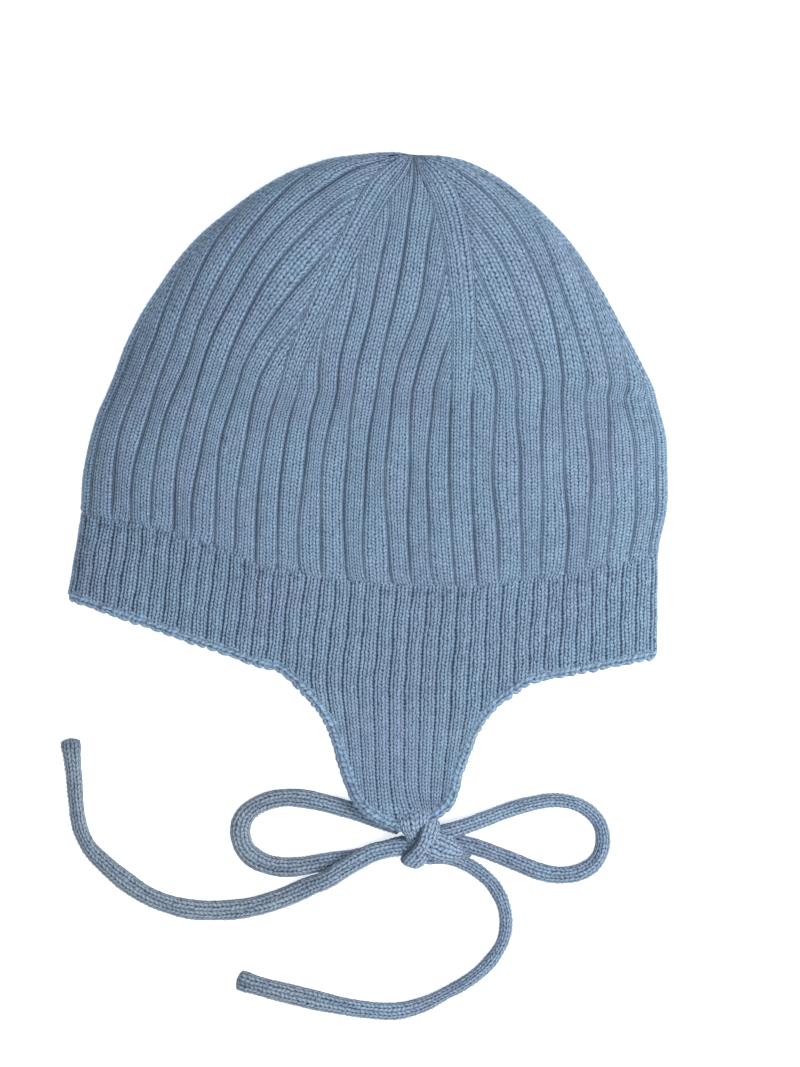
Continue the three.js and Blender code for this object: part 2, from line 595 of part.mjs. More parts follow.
// A tie's free stretch: a flattened cord with a ring at each point of its route, which ends at the knot's
// surface.
function makeCord(route) {
  const facets = new Facets();
  const points = route.map(([x, y, z]) => new THREE.Vector3(x, y, z));
  const path = new THREE.CatmullRomCurve3(points, false, "centripetal");
  const reach = 1 / Math.cos(Math.PI / CORD_SIDES);
  const rings = route.map(([, , , wide], i) => {
    const tangent = path.getTangent(i / (route.length - 1));
    const side = new THREE.Vector3(-tangent.y, tangent.x, 0).normalize();
    const up = tangent.clone().cross(side).normalize();
    const ring = [];
    for (let k = 0; k < CORD_SIDES; k += 1) {
      const angle = (2 * Math.PI * (k + 0.5)) / CORD_SIDES;
      const across = (Math.cos(angle) * reach * wide * CORD_WIDTH) / 2;
      const over = (Math.sin(angle) * reach * CORD_THICK) / 2;
      ring.push(facets.add(points[i].clone().addScaledVector(side, across).addScaledVector(up, over)));
    }
    return [...ring, ring[0]];
  });
  facets.columns(rings, false, true);
  const middles = [points[0], points.at(-1)].map((point) => facets.add(point.clone()));
  for (let k = 0; k < CORD_SIDES; k += 1) {
    facets.faces.push([middles[0], rings[0][k + 1], rings[0][k]]);
    facets.faces.push([middles[1], rings.at(-1)[k], rings.at(-1)[k + 1]]);
  }
  return geometryOf(solidOf(facets.geometry()).subtract(solidOf(makeKnot(GAP))));
}

const yarn = new THREE.MeshStandardMaterial({ color: 0x7692b0, roughness: 0.92, metalness: 0 });
const fineYarn = new THREE.MeshStandardMaterial({ color: 0x6f8aa8, roughness: 0.92, metalness: 0 });
const edgeYarn = new THREE.MeshStandardMaterial({ color: 0x7d98b5, roughness: 0.92, metalness: 0 });
const tieYarn = new THREE.MeshStandardMaterial({ color: 0x86a0bb, roughness: 0.9, metalness: 0 });

const bonnet = new THREE.Group();

function piece(name, geometry, material) {
  const mesh = new THREE.Mesh(geometry, material);
  mesh.name = name;
  bonnet.add(mesh);
}

piece("crown", makeCrown(), yarn);
piece("band", makeBand(), fineYarn);
piece("ear_flap_upper", makeFlap(true), fineYarn);
piece("ear_flap_under", makeFlap(false), fineYarn);
piece("cast_off_edge", makeCastOffEdge(), edgeYarn);
piece("first_tie_loop", makeCord(FIRST_TIE_LOOP), tieYarn);
piece("first_tie_tail", makeCord(FIRST_TIE_TAIL), tieYarn);
piece("second_tie_loop", makeCord(SECOND_TIE_LOOP), tieYarn);
piece("second_tie_tail", makeCord(SECOND_TIE_TAIL), tieYarn);
piece("tie_knot", makeKnot(0), tieYarn);

export default bonnet;
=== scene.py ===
"""A knitted baby bonnet with ear flaps, lying flat on its side, its two ties tied in a bow.

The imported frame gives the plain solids. This script lays the knitted cloth over them: ribs, stitches,
cast-off edge, ties and knot. Lengths are worked out in millimetres and put into the meshes in metres.
"""
import logging
import math
from dataclasses import dataclass, field
from enum import Enum

import bpy
import numpy as np
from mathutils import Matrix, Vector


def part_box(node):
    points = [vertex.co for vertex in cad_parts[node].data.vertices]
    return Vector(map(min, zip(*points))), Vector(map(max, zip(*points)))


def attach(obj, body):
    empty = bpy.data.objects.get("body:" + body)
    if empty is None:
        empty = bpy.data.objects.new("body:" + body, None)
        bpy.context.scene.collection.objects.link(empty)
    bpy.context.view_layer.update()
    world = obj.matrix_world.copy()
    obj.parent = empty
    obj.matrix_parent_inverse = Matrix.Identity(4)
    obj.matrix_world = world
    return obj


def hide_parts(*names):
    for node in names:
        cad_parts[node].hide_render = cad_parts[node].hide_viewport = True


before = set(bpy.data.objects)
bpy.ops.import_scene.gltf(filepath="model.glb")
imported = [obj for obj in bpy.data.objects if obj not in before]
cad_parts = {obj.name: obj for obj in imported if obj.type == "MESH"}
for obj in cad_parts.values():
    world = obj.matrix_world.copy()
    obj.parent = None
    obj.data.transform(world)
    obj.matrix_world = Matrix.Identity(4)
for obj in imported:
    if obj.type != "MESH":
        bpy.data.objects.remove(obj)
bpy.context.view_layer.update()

log = logging.getLogger("bonnet")
MM = 0.001
Values = float | np.ndarray


class Side(Enum):
    """Which half of the folded bonnet a piece belongs to."""

    UPPER = 1
    UNDER = -1


def mix(a: Values, b: Values, share: Values) -> Values:
    """The value a share of the way from a to b.

    Args:
        a: the value at share 0.
        b: the value at share 1.
        share: a number or an array.

    Returns:
        a + (b - a) * share.
    """
    return a + (b - a) * share


def ease(share: Values) -> Values:
    """A smooth step: 3 s^2 - 2 s^3 of a share that is kept between 0 and 1."""
    held = np.clip(share, 0.0, 1.0)
    return held * held * (3.0 - 2.0 * held)


def unit(vectors: np.ndarray) -> np.ndarray:
    """Vectors along the last axis, each divided by its length."""
    return vectors / np.maximum(np.linalg.norm(vectors, axis=-1, keepdims=True), 1e-9)


def along(knots: np.ndarray, values: np.ndarray, at: np.ndarray) -> np.ndarray:
    """A smooth curve through a table: cubic pieces whose slope at a knot is the chord of its neighbours.

    Args:
        knots: the table's places, rising.
        values: the table's values, one a place.
        at: the places that are asked for, of any shape.

    Returns:
        The values there.
    """
    x = np.clip(at, knots[0], knots[-1])
    before = np.r_[0, np.arange(len(knots) - 1)]
    after = np.r_[np.arange(1, len(knots)), len(knots) - 1]
    slopes = (values[after] - values[before]) / (knots[after] - knots[before])
    i = np.clip(np.searchsorted(knots, x, side="left") - 1, 0, len(knots) - 2)
    span = knots[i + 1] - knots[i]
    t = (x - knots[i]) / span
    start = values[i] * (1 + 2 * t) * (1 - t) ** 2 + slopes[i] * span * t * (1 - t) ** 2
    end = values[i + 1] * t * t * (3 - 2 * t) + slopes[i + 1] * span * t * t * (t - 1)
    return start + end


def wave(turns: Values) -> Values:
    """A sine of a place that is counted in whole waves."""
    return np.sin(2 * np.pi * turns)


def hump(place: np.ndarray, middle: Values, reach: float, power: int = 2) -> np.ndarray:
    """A smooth hump of height 1 round a middle: exp(-((place - middle) / reach)^power)."""
    return np.exp(-(((place - middle) / reach) ** power))


def nearest(place: np.ndarray) -> np.ndarray:
    """The nearest whole number, with halves taken upwards."""
    return np.floor(place + 0.5)


def reach_along(points: np.ndarray) -> np.ndarray:
    """How far along a line each of its points is, from 0 at the first."""
    return np.r_[0, np.cumsum(np.linalg.norm(np.diff(points, axis=0), axis=1))]


def curve(reach: np.ndarray, points: np.ndarray, at: np.ndarray) -> np.ndarray:
    """The smooth curve through points that are a reach apart, at other places along it."""
    return np.stack([along(reach, values, at) for values in points.T], axis=-1)


@dataclass(frozen=True)
class Bonnet:
    """The folded bonnet's outer form without ribs, as the solids have it. Lengths are in millimetres.

    A place on it is a turn (0 to 1 over the upper side from the front fold to the back fold, 1 to 2 back
    under it) and a row (0 at the rim, 1 at the top, -1 at the band's lower edge).
    """

    hat_width: float = 193.4
    crown_height: float = 141.2
    band_height: float = 36.6
    flap_width: float = 77.6
    flap_length: float = 48.8
    wall: float = 3.0
    flap_wall: float = 2.4
    gap: float = 0.3
    puff: float = 26.0
    fold_rise: float = 5.5
    tip_lift: float = 3.6
    rim_x: float = 1.5
    rim_y: float = -30.0
    flap_x: float = 10.1
    flap_settles: float = 0.55
    tip_lifts_from: float = 0.55
    tip_lifted_at: float = 0.92
    ribs: int = 54
    sections: int = 6  # the crown narrows at six lines of decreases
    ribs_per_section: int = 9
    fine_ribs: int = 78  # round the band
    first_decrease: float = 0.47  # the row where the decreases start
    crowds_from: float = 0.38  # the row where the ribs start to crowd towards the back, and over how many
    crowds_over: float = 0.42
    closes_from: float = 0.35  # the row from which the dome's height falls towards the top
    closing_power: float = 2.2
    arch_power: float = 2.6
    arch_fall: float = 0.55
    fold_from: float = 0.86  # how far across the under side starts to rise to a fold
    top_from: float = 0.8  # the row from which it rises to the top
    tip_x: float = 8.0  # the columns that run straight to a flap's tip, from the middle of the rim
    lean: float = 0.06  # how far the flap's columns draw together, as a share of their distance
    side_lean: float = 2.6  # how much farther the columns at the flap's sides lean, in millimetres
    side_reach: float = 23.0
    side_most: float = 1.35
    lean_over: float = 32.0  # the drop over which they lean
    late_lean: float = 0.1
    tip_swing: float = 5.0  # how far the columns over the knot swing back at the tip, in millimetres
    swing_x: float = 5.0  # where they swing most, from the straight columns, and how far that reaches
    swing_reach: float = 8.5

    # Rows, and each line's x share of the width and y share of the height: front, left, right, back
    spine_rows = np.array([0.0, 0.12, 0.24, 0.36, 0.47, 0.53, 0.65, 0.765, 0.885, 0.945, 1.0])
    spine_x = np.array([
        [-0.497, -0.4915, -0.471, -0.441, -0.409, -0.375, -0.295, -0.1895, -0.087, -0.009, 0.068],
        [-0.179, -0.1775, -0.1705, -0.157, -0.14, -0.1245, -0.0735, -0.0255, 0.0155, 0.041, 0.068],
        [0.157, 0.15, 0.145, 0.145, 0.147, 0.1485, 0.1485, 0.1365, 0.118, 0.097, 0.068],
        [0.485, 0.5, 0.502, 0.4965, 0.483, 0.471, 0.396, 0.321, 0.234, 0.155, 0.068],
    ])
    spine_y = np.array([
        [0.161, 0.273, 0.383, 0.486, 0.59, 0.6695, 0.8085, 0.9205, 0.9835, 0.996, 1.0],
        [0.037, 0.15, 0.264, 0.371, 0.446, 0.516, 0.666, 0.801, 0.904, 0.951, 1.0],
        [-0.007, 0.11, 0.224, 0.343, 0.451, 0.516, 0.626, 0.769, 0.8785, 0.937, 1.0],
        [0.07, 0.166, 0.269, 0.353, 0.428, 0.474, 0.668, 0.8155, 0.923, 0.982, 1.0],
    ])
    band_edge = np.array([[-0.521, -0.138], [-0.179, -0.765], [0.157, -1.0], [0.484, -0.667]])
    rim_sag = np.array([-0.014, 0.013, 0.013])
    crowding = np.array([-0.09, 0.0, 0.11])
    puff_rows = np.array([-1.2, -1.0, 0.0, 0.35])
    puff_shares = np.array([0.4, 0.44, 0.8, 1.0])
    # An ear flap's outline: across as a share of its width, down as a share of its length
    flap_outline = np.array([
        [-0.5, 0.015], [-0.442, 0.1], [-0.388, 0.19], [-0.343, 0.28], [-0.315, 0.37], [-0.296, 0.47],
        [-0.276, 0.58], [-0.251, 0.69], [-0.226, 0.79], [-0.188, 0.865], [-0.125, 0.93], [-0.05, 0.968],
        [0.03, 0.958], [0.1, 0.9], [0.165, 0.828], [0.208, 0.75], [0.231, 0.65], [0.245, 0.55],
        [0.266, 0.45], [0.289, 0.36], [0.311, 0.27], [0.348, 0.185], [0.403, 0.105], [0.455, 0.055],
        [0.5, 0.012],
    ])

    def spines(self, row: np.ndarray) -> tuple[np.ndarray, np.ndarray]:
        """The four lines' x and y at a row; under the rim they run straight to the band's edge.

        Args:
            row: the rows, of any shape.

        Returns:
            x and y from the middle of the rim, with a last axis of four.
        """
        up = np.maximum(row, 0.0)
        x = np.stack([along(self.spine_rows, v, up) for v in self.spine_x], axis=-1) * self.hat_width
        y = np.stack([along(self.spine_rows, v, up) for v in self.spine_y], axis=-1) * self.crown_height
        below = np.maximum(-row, 0.0)[..., None]
        edge_x = self.band_edge[:, 0] * self.hat_width
        edge_y = self.band_edge[:, 1] * self.band_height
        return mix(x, edge_x, below), mix(y, edge_y, below)

    def course(self, row: np.ndarray) -> tuple[np.ndarray, np.ndarray, np.ndarray]:
        """The four lines at a row, and how far across it each stands, from -1 (front) to 1 (back).

        Args:
            row: the rows, of any shape.

        Returns:
            x, y and across, each with a last axis of four; across follows the chords' lengths.
        """
        x, y = self.spines(row)
        lengths = np.hypot(np.diff(x, axis=-1), np.diff(y, axis=-1)) + 1e-9
        reach = np.concatenate([np.zeros_like(lengths[..., :1]), np.cumsum(lengths, axis=-1)], axis=-1)
        return x, y, -1 + 2 * reach / reach[..., -1:]

    def plan(self, u: np.ndarray, row: np.ndarray) -> tuple[np.ndarray, np.ndarray]:
        """A place's x and y from its share across: on the chord between two lines, lowered by the sag.

        Args:
            u: shares across, from -1 to 1.
            row: rows of the same shape.

        Returns:
            x and y from the row frame's origin.
        """
        u, row = np.broadcast_arrays(np.asarray(u, float), np.asarray(row, float))
        x, y, across = self.course(row)
        i = (u > across[..., 1]).astype(int) + (u > across[..., 2]).astype(int)

        def pick(table: np.ndarray, k: np.ndarray) -> np.ndarray:
            """The k-th entry of each row of a table."""
            return np.take_along_axis(table, k[..., None], axis=-1)[..., 0]

        share = (u - pick(across, i)) / (pick(across, i + 1) - pick(across, i))
        fade = np.where(row < 0, np.maximum(0.0, 1 + row), 1 - row)
        sag = self.rim_sag[i] * self.crown_height * fade * 4 * share * (1 - share)
        flat_x = mix(pick(x, i), pick(x, i + 1), share)
        flat_y = mix(pick(y, i), pick(y, i + 1), share) - sag
        return flat_x + self.rim_x, flat_y + self.rim_y

    def share_across(self, turn: np.ndarray) -> tuple[np.ndarray, np.ndarray]:
        """A turn's share across, from -1 (front) to 1 (back), and whether it is on the upper side."""
        round_turn = np.mod(turn, 2.0)
        upper = round_turn <= 1
        return np.where(upper, 2 * round_turn - 1, 3 - 2 * round_turn), upper

    def form(self, turn: np.ndarray, row: np.ndarray) -> np.ndarray:
        """The outer form: a flattened dome over the surface, flat below, whose height falls to the folds.

        Args:
            turn: turns round the bonnet.
            row: rows of the same shape.

        Returns:
            Points in millimetres, with a last axis of three.
        """
        turn, row = np.broadcast_arrays(np.asarray(turn, float), np.asarray(row, float))
        u, upper = self.share_across(turn)
        x, y = self.plan(u, row)
        beyond = np.maximum(0.0, (row - self.closes_from) / (1 - self.closes_from))
        closing = np.sqrt(np.maximum(0.0, 1 - beyond**self.closing_power))
        puff = along(self.puff_rows, self.puff_shares, row) * closing
        arch = np.maximum(0.0, 1 - np.abs(u) ** self.arch_power) ** self.arch_fall
        above = self.fold_rise + (self.puff - self.fold_rise) * puff * arch
        side = np.maximum(0.0, (np.abs(u) - self.fold_from) / (1 - self.fold_from))
        end = np.maximum(0.0, (row - self.top_from) / (1 - self.top_from))
        flat = np.sqrt(np.maximum(0.0, 1 - side**2)) * np.sqrt(np.maximum(0.0, 1 - end**2))
        return np.stack([x, y, np.where(upper, above, self.fold_rise * (1 - flat))], axis=-1)

    def outward(self, turn: np.ndarray, row: np.ndarray) -> np.ndarray:
        """The outer form's outward direction, from differences over a short way round and up."""
        turn_step, row_step = 0.004, 0.03
        across = self.form(turn + turn_step, row) - self.form(turn - turn_step, row)
        upwards = self.form(turn, row + row_step) - self.form(turn, row - row_step)
        direction = unit(np.cross(across, upwards))
        at_top = np.broadcast_to(np.asarray(row) > 0.995, direction.shape[:-1])[..., None]
        return np.where(at_top, np.array([0.0, 1.0, 0.0]), direction)

    def ended(self, row: np.ndarray) -> np.ndarray:
        """How many wales have ended on each side of a line of decreases at a row."""
        share = np.clip((row - self.first_decrease) / (1 - self.first_decrease), 0, 1)
        return (self.ribs_per_section - 1) / 2 * share

    def wale_turn(self, line: int, off: np.ndarray, row: np.ndarray) -> np.ndarray:
        """Where a wale of the crown stands, as a turn.

        From the first decrease on, the wales beside a line of decreases end one after another at the
        edge of the rib that runs on the line, and those left share the section between them.

        Args:
            line: the number of the line of decreases, from 0 at the front fold.
            off: wales from that line, from -4.5 to 4.5.
            row: rows of the same shape.

        Returns:
            Turns, past 2 or below 0 where they pass the front fold.
        """
        half = self.ribs_per_section / 2
        ended = self.ended(row)
        away = np.abs(off)
        seen = np.where(away <= 0.5, away, np.maximum(away - ended, 0.5))
        share = seen / (2 * (half - ended))
        forward = off >= 0
        section = np.where(forward, line, line - 1)
        share = np.where(forward, share, 1 - share)
        ring = np.mod(section, self.sections)
        upper = ring < self.sections // 2
        column = np.where(upper, ring, self.sections - 1 - ring)
        plain = np.where(upper, share, 1 - share)
        crowd = self.crowding[column] * ease((row - self.crowds_from) / self.crowds_over)
        moved = plain + crowd * 4 * plain * (1 - plain)
        across = self.course(row)[2]
        low = np.take_along_axis(across, column[..., None], axis=-1)[..., 0]
        high = np.take_along_axis(across, column[..., None] + 1, axis=-1)[..., 0]
        turn = (mix(low, high, moved) + 1) / 2
        turn = np.where(upper, turn, 2 - turn)
        return turn + np.where(section < 0, -2.0, 0.0)

    def rib_pitch(self, row: np.ndarray) -> np.ndarray:
        """How far apart the wide ribs stand at a row, in millimetres."""
        x, y = self.spines(row)
        across = np.hypot(np.diff(x, axis=-1), np.diff(y, axis=-1)).sum(axis=-1)
        return 2 * across / (self.ribs - 2 * self.sections * self.ended(row))

    def edge_places(self) -> tuple[np.ndarray, np.ndarray, np.ndarray]:
        """The band's lower edge, sampled: shares across, x and y."""
        u = np.linspace(-1, 1, 801)
        x, y = self.plan(u, -np.ones_like(u))
        return u, x, y

    def edge_y(self, x: np.ndarray) -> np.ndarray:
        """The y of the band's lower edge at an x."""
        _, edge_x, edge_y = self.edge_places()
        return np.interp(x, edge_x, edge_y)

    def edge_share(self, x: np.ndarray) -> np.ndarray:
        """The share across of the band's lower edge at an x."""
        u, edge_x, _ = self.edge_places()
        return np.interp(x, edge_x, u)

    def flap_line(self, inset: float) -> np.ndarray:
        """An ear flap's smooth outline in plan, moved inwards.

        Args:
            inset: how far inwards, in millimetres.

        Returns:
            Points x, y from the front root round the tip to the back root.
        """
        x = self.rim_x + self.flap_x + self.flap_outline[:, 0] * self.flap_width
        y = self.edge_y(x) - self.flap_outline[:, 1] * self.flap_length
        corners = np.column_stack([x, y])
        reach = reach_along(corners)
        line = curve(reach, corners, np.linspace(0, reach[-1], 240))
        way = unit(np.gradient(line, axis=0))
        return line + inset * np.stack([-way[:, 1], way[:, 0]], axis=-1)

    def flap_column(self, x: np.ndarray, drop: np.ndarray) -> np.ndarray:
        """Where a stitch column of an ear flap has moved to once it has run down by a drop.

        The columns draw together towards the tip. Those at the sides lean most, the distance from the
        middle column counting by its power 2.5.

        Args:
            x: the columns' places at the band's edge.
            drop: millimetres below the band's edge, of the same shape.

        Returns:
            Places across.
        """
        away = x - self.rim_x - self.tip_x
        near = np.minimum(np.abs(away) / self.side_reach, self.side_most)
        early = ease(drop / self.lean_over)
        late = ease((drop - 0.8 * self.lean_over) / (0.6 * self.lean_over))
        inwards = self.lean * np.abs(away) + self.side_lean * near**2.5
        swing = self.tip_swing * ease(2 * drop / self.flap_length - 1) ** 2
        swing = swing * hump(away, self.swing_x, self.swing_reach)
        return x - np.sign(away) * inwards * early - away * self.late_lean * late + swing

    def flap_room(self, x: np.ndarray, y: np.ndarray, inset: float) -> np.ndarray:
        """How far inside an ear flap's outline a place is, across; below 0 outside.

        Args:
            x: places across.
            y: places along, of the same shape.
            inset: how far inwards the outline is moved.

        Returns:
            Distances in millimetres.
        """
        line = self.flap_line(inset)
        tip = int(np.argmin(line[:, 1]))
        front, back = line[: tip + 1], line[tip:][::-1]
        left = np.interp(-y, -front[:, 1], front[:, 0])
        right = np.interp(-y, -back[:, 1], back[:, 0])
        return np.minimum(np.minimum(x - left, right - x), y - line[tip, 1])

    def flap_top(self, side: Side, x: np.ndarray, y: np.ndarray) -> np.ndarray:
        """The top of an ear flap's cloth: it settles from the band on to the flap below, and its tip lifts.

        Args:
            side: the upper or the under flap.
            x: places across.
            y: places along, of the same shape.

        Returns:
            Heights over the surface.
        """
        down = (self.edge_y(x) - y) / self.flap_length
        rise = (down - self.tip_lifts_from) / (self.tip_lifted_at - self.tip_lifts_from)
        lift = self.tip_lift * ease(rise)
        if side is Side.UNDER:
            return lift + self.flap_wall
        rest = lift + 2 * self.flap_wall + self.gap
        band = self.form((self.edge_share(x) + 1) / 2, -np.ones_like(x))[..., 2]
        return mix(band, rest, ease(down / self.flap_settles))


@dataclass(frozen=True)
class Rib:
    """A knitted rib: some columns of knit stitches side by side, and a groove of purl stitches.

    A place across it runs from -0.5 to 0.5, groove to groove.
    """

    columns: int
    groove: float  # half of the groove's width, as a share of the rib
    depth: float  # millimetres from the rib's top to the groove's bottom
    purl: float = 1.0  # stitch columns hidden in the groove
    power: float = 6.0  # how flat the rib's top is
    seam: float = 0.0  # how deep the lines between its columns are, in millimetres
    stitch_steps: int = 4

    def stations(self) -> np.ndarray:
        """The places across one rib where the mesh has columns, without the last."""
        knit = np.linspace(-0.5 + self.groove, 0.5 - self.groove, self.columns * self.stitch_steps + 1)
        return np.r_[-0.5, knit]

    def across(self, ribs: np.ndarray) -> np.ndarray:
        """The mesh's places across a run of ribs, given by their middles, with the last groove."""
        places = (ribs[:, None] + self.stations()[None, :]).ravel()
        return np.r_[places, ribs[-1] + 0.5]

    def stitch(self, place: np.ndarray) -> np.ndarray:
        """Stitch columns counted across the ribs. A whole number is the middle of a column."""
        rib = nearest(place)
        knots = np.array([-0.5, -0.5 + self.groove, 0.5 - self.groove, 0.5])
        half = self.purl / 2
        counts = np.array([0.0, half, self.columns + half, self.columns + self.purl])
        return rib * (self.columns + self.purl) + np.interp(place - rib, knots, counts)

    def knit(self, place: np.ndarray) -> np.ndarray:
        """1 on the knit columns, 0 in the groove."""
        edge = 1.6 * self.groove
        return 1 - ease((np.abs(place - nearest(place)) - 0.5 + edge) / edge)

    def body(self, place: np.ndarray) -> np.ndarray:
        """The rib's rounding: minus its depth times a power of the place's distance from its middle."""
        return -self.depth * (2 * np.abs(place - nearest(place))) ** self.power

    def lines(self, place: np.ndarray) -> np.ndarray:
        """The lines between the rib's columns, as depths below its rounding."""
        from_middle = np.abs(2 * np.mod(self.stitch(place) + 0.5, 1.0) - 1)
        return self.seam * ease((from_middle - 0.5) / 0.5) * self.knit(place)


def uneven(number: np.ndarray) -> np.ndarray:
    """A value between about -1 and 1 for each whole number, with no pattern that shows."""
    return 0.55 * np.sin(number * 2.399) + 0.45 * np.sin(number * 5.173 + 1.0)


def stitch_relief(column: np.ndarray, row: np.ndarray) -> np.ndarray:
    """How far a knit stitch stands up, from 0 to 1.

    Each stitch is a V of two legs. A leg is round across, so the height is 1 - (2 t - 1)^2 of the distance
    t from the column's middle, and it is round along, with its place along raised by half the distance.

    Args:
        column: stitch columns; a column's middle is at a half number once shifted by a half.
        row: stitch rows.

    Returns:
        Heights.
    """
    a = np.mod(column + 0.5, 1.0)
    t = np.abs(2 * a - 1)
    s = np.mod(row - 0.6 * t, 1.0)
    leg = 1 - (2 * t - 1) ** 2
    own = 1 + 0.22 * uneven(nearest(column) * 1.7 + np.floor(row - 0.6 * t) * 2.9)
    return own * leg * (0.35 + 0.65 * (1 - (2 * s - 1) ** 2))


@dataclass
class Cloth:
    """Patches of knitted surface that become one mesh."""

    points: list = field(default_factory=list)
    stitches: list = field(default_factory=list)
    knits: list = field(default_factory=list)
    triangles: list = field(default_factory=list)
    count: int = 0
    floor: float = 0.04

    def lay(
        self, points: np.ndarray, column: Values, row: Values, knit: Values, last: np.ndarray | None = None
    ) -> None:
        """Adds a grid of points, with its first axis across and its second along.

        Two triangles fill each cell. Where a column ends before the grid does, its further points are
        taken as its last one, and a cell that this closes gets no triangle.

        Args:
            points: an array (across, along, 3) in millimetres, whose faces look along across x along.
            column: the stitch column of each point.
            row: the stitch row of each point.
            knit: 1 on knit stitches, 0 in a groove, above 1 where the cloth is stretched flat. Below 1 the
                yarn paints shade on it.
            last: the index along at which each column ends, or None where all run to the end.
        """
        points[..., 2] = np.maximum(points[..., 2], self.floor)
        n, m = points.shape[:2]
        index = np.arange(m)[None, :].repeat(n, axis=0)
        if last is not None:
            index = np.minimum(index, last[:, None])
        ids = self.count + np.arange(n)[:, None] * m + index
        a, b, c, d = ids[:-1, :-1], ids[1:, :-1], ids[1:, 1:], ids[:-1, 1:]
        faces = np.concatenate([
            np.stack([a, b, c], axis=-1).reshape(-1, 3),
            np.stack([a, c, d], axis=-1).reshape(-1, 3),
        ])
        open_face = (faces[:, 0] != faces[:, 1]) & (faces[:, 1] != faces[:, 2]) & (faces[:, 2] != faces[:, 0])
        self.triangles.append(faces[open_face])
        self.points.append(points.reshape(-1, 3))
        wide = np.broadcast_to(column, (n, m)).ravel()
        self.stitches.append(np.stack([wide, np.broadcast_to(row, (n, m)).ravel()], axis=-1))
        self.knits.append(np.broadcast_to(knit, (n, m)).ravel())
        self.count += n * m

    def piece(self, name: str) -> bpy.types.Object:
        """Makes the mesh, drops points that no face uses, and puts the object into the scene.

        Args:
            name: the piece's name.

        Returns:
            The new object, at the origin.
        """
        points = np.concatenate(self.points) * MM
        faces = np.concatenate(self.triangles)
        used, inverse = np.unique(faces.ravel(), return_inverse=True)
        faces = inverse.reshape(-1, 3)
        mesh = bpy.data.meshes.new(name)
        mesh.vertices.add(len(used))
        mesh.vertices.foreach_set("co", points[used].astype(np.float32).ravel())
        mesh.loops.add(faces.size)
        mesh.loops.foreach_set("vertex_index", faces.astype(np.int32).ravel())
        mesh.polygons.add(len(faces))
        mesh.polygons.foreach_set("loop_start", np.arange(0, faces.size, 3, dtype=np.int32))
        mesh.polygons.foreach_set("use_smooth", np.ones(len(faces), dtype=bool))
        mesh.update(calc_edges=True)
        stitches = np.concatenate(self.stitches)[used]
        layer = mesh.uv_layers.new(name="stitches")
        layer.data.foreach_set("uv", stitches[faces.ravel()].astype(np.float32).ravel())
        knit = mesh.attributes.new("knit", "FLOAT", "POINT")
        knit.data.foreach_set("value", np.concatenate(self.knits)[used].astype(np.float32))
        mesh.validate()
        obj = bpy.data.objects.new(name, mesh)
        bpy.context.scene.collection.objects.link(obj)
        log.info("%s: %d triangles", name, len(faces))
        return obj


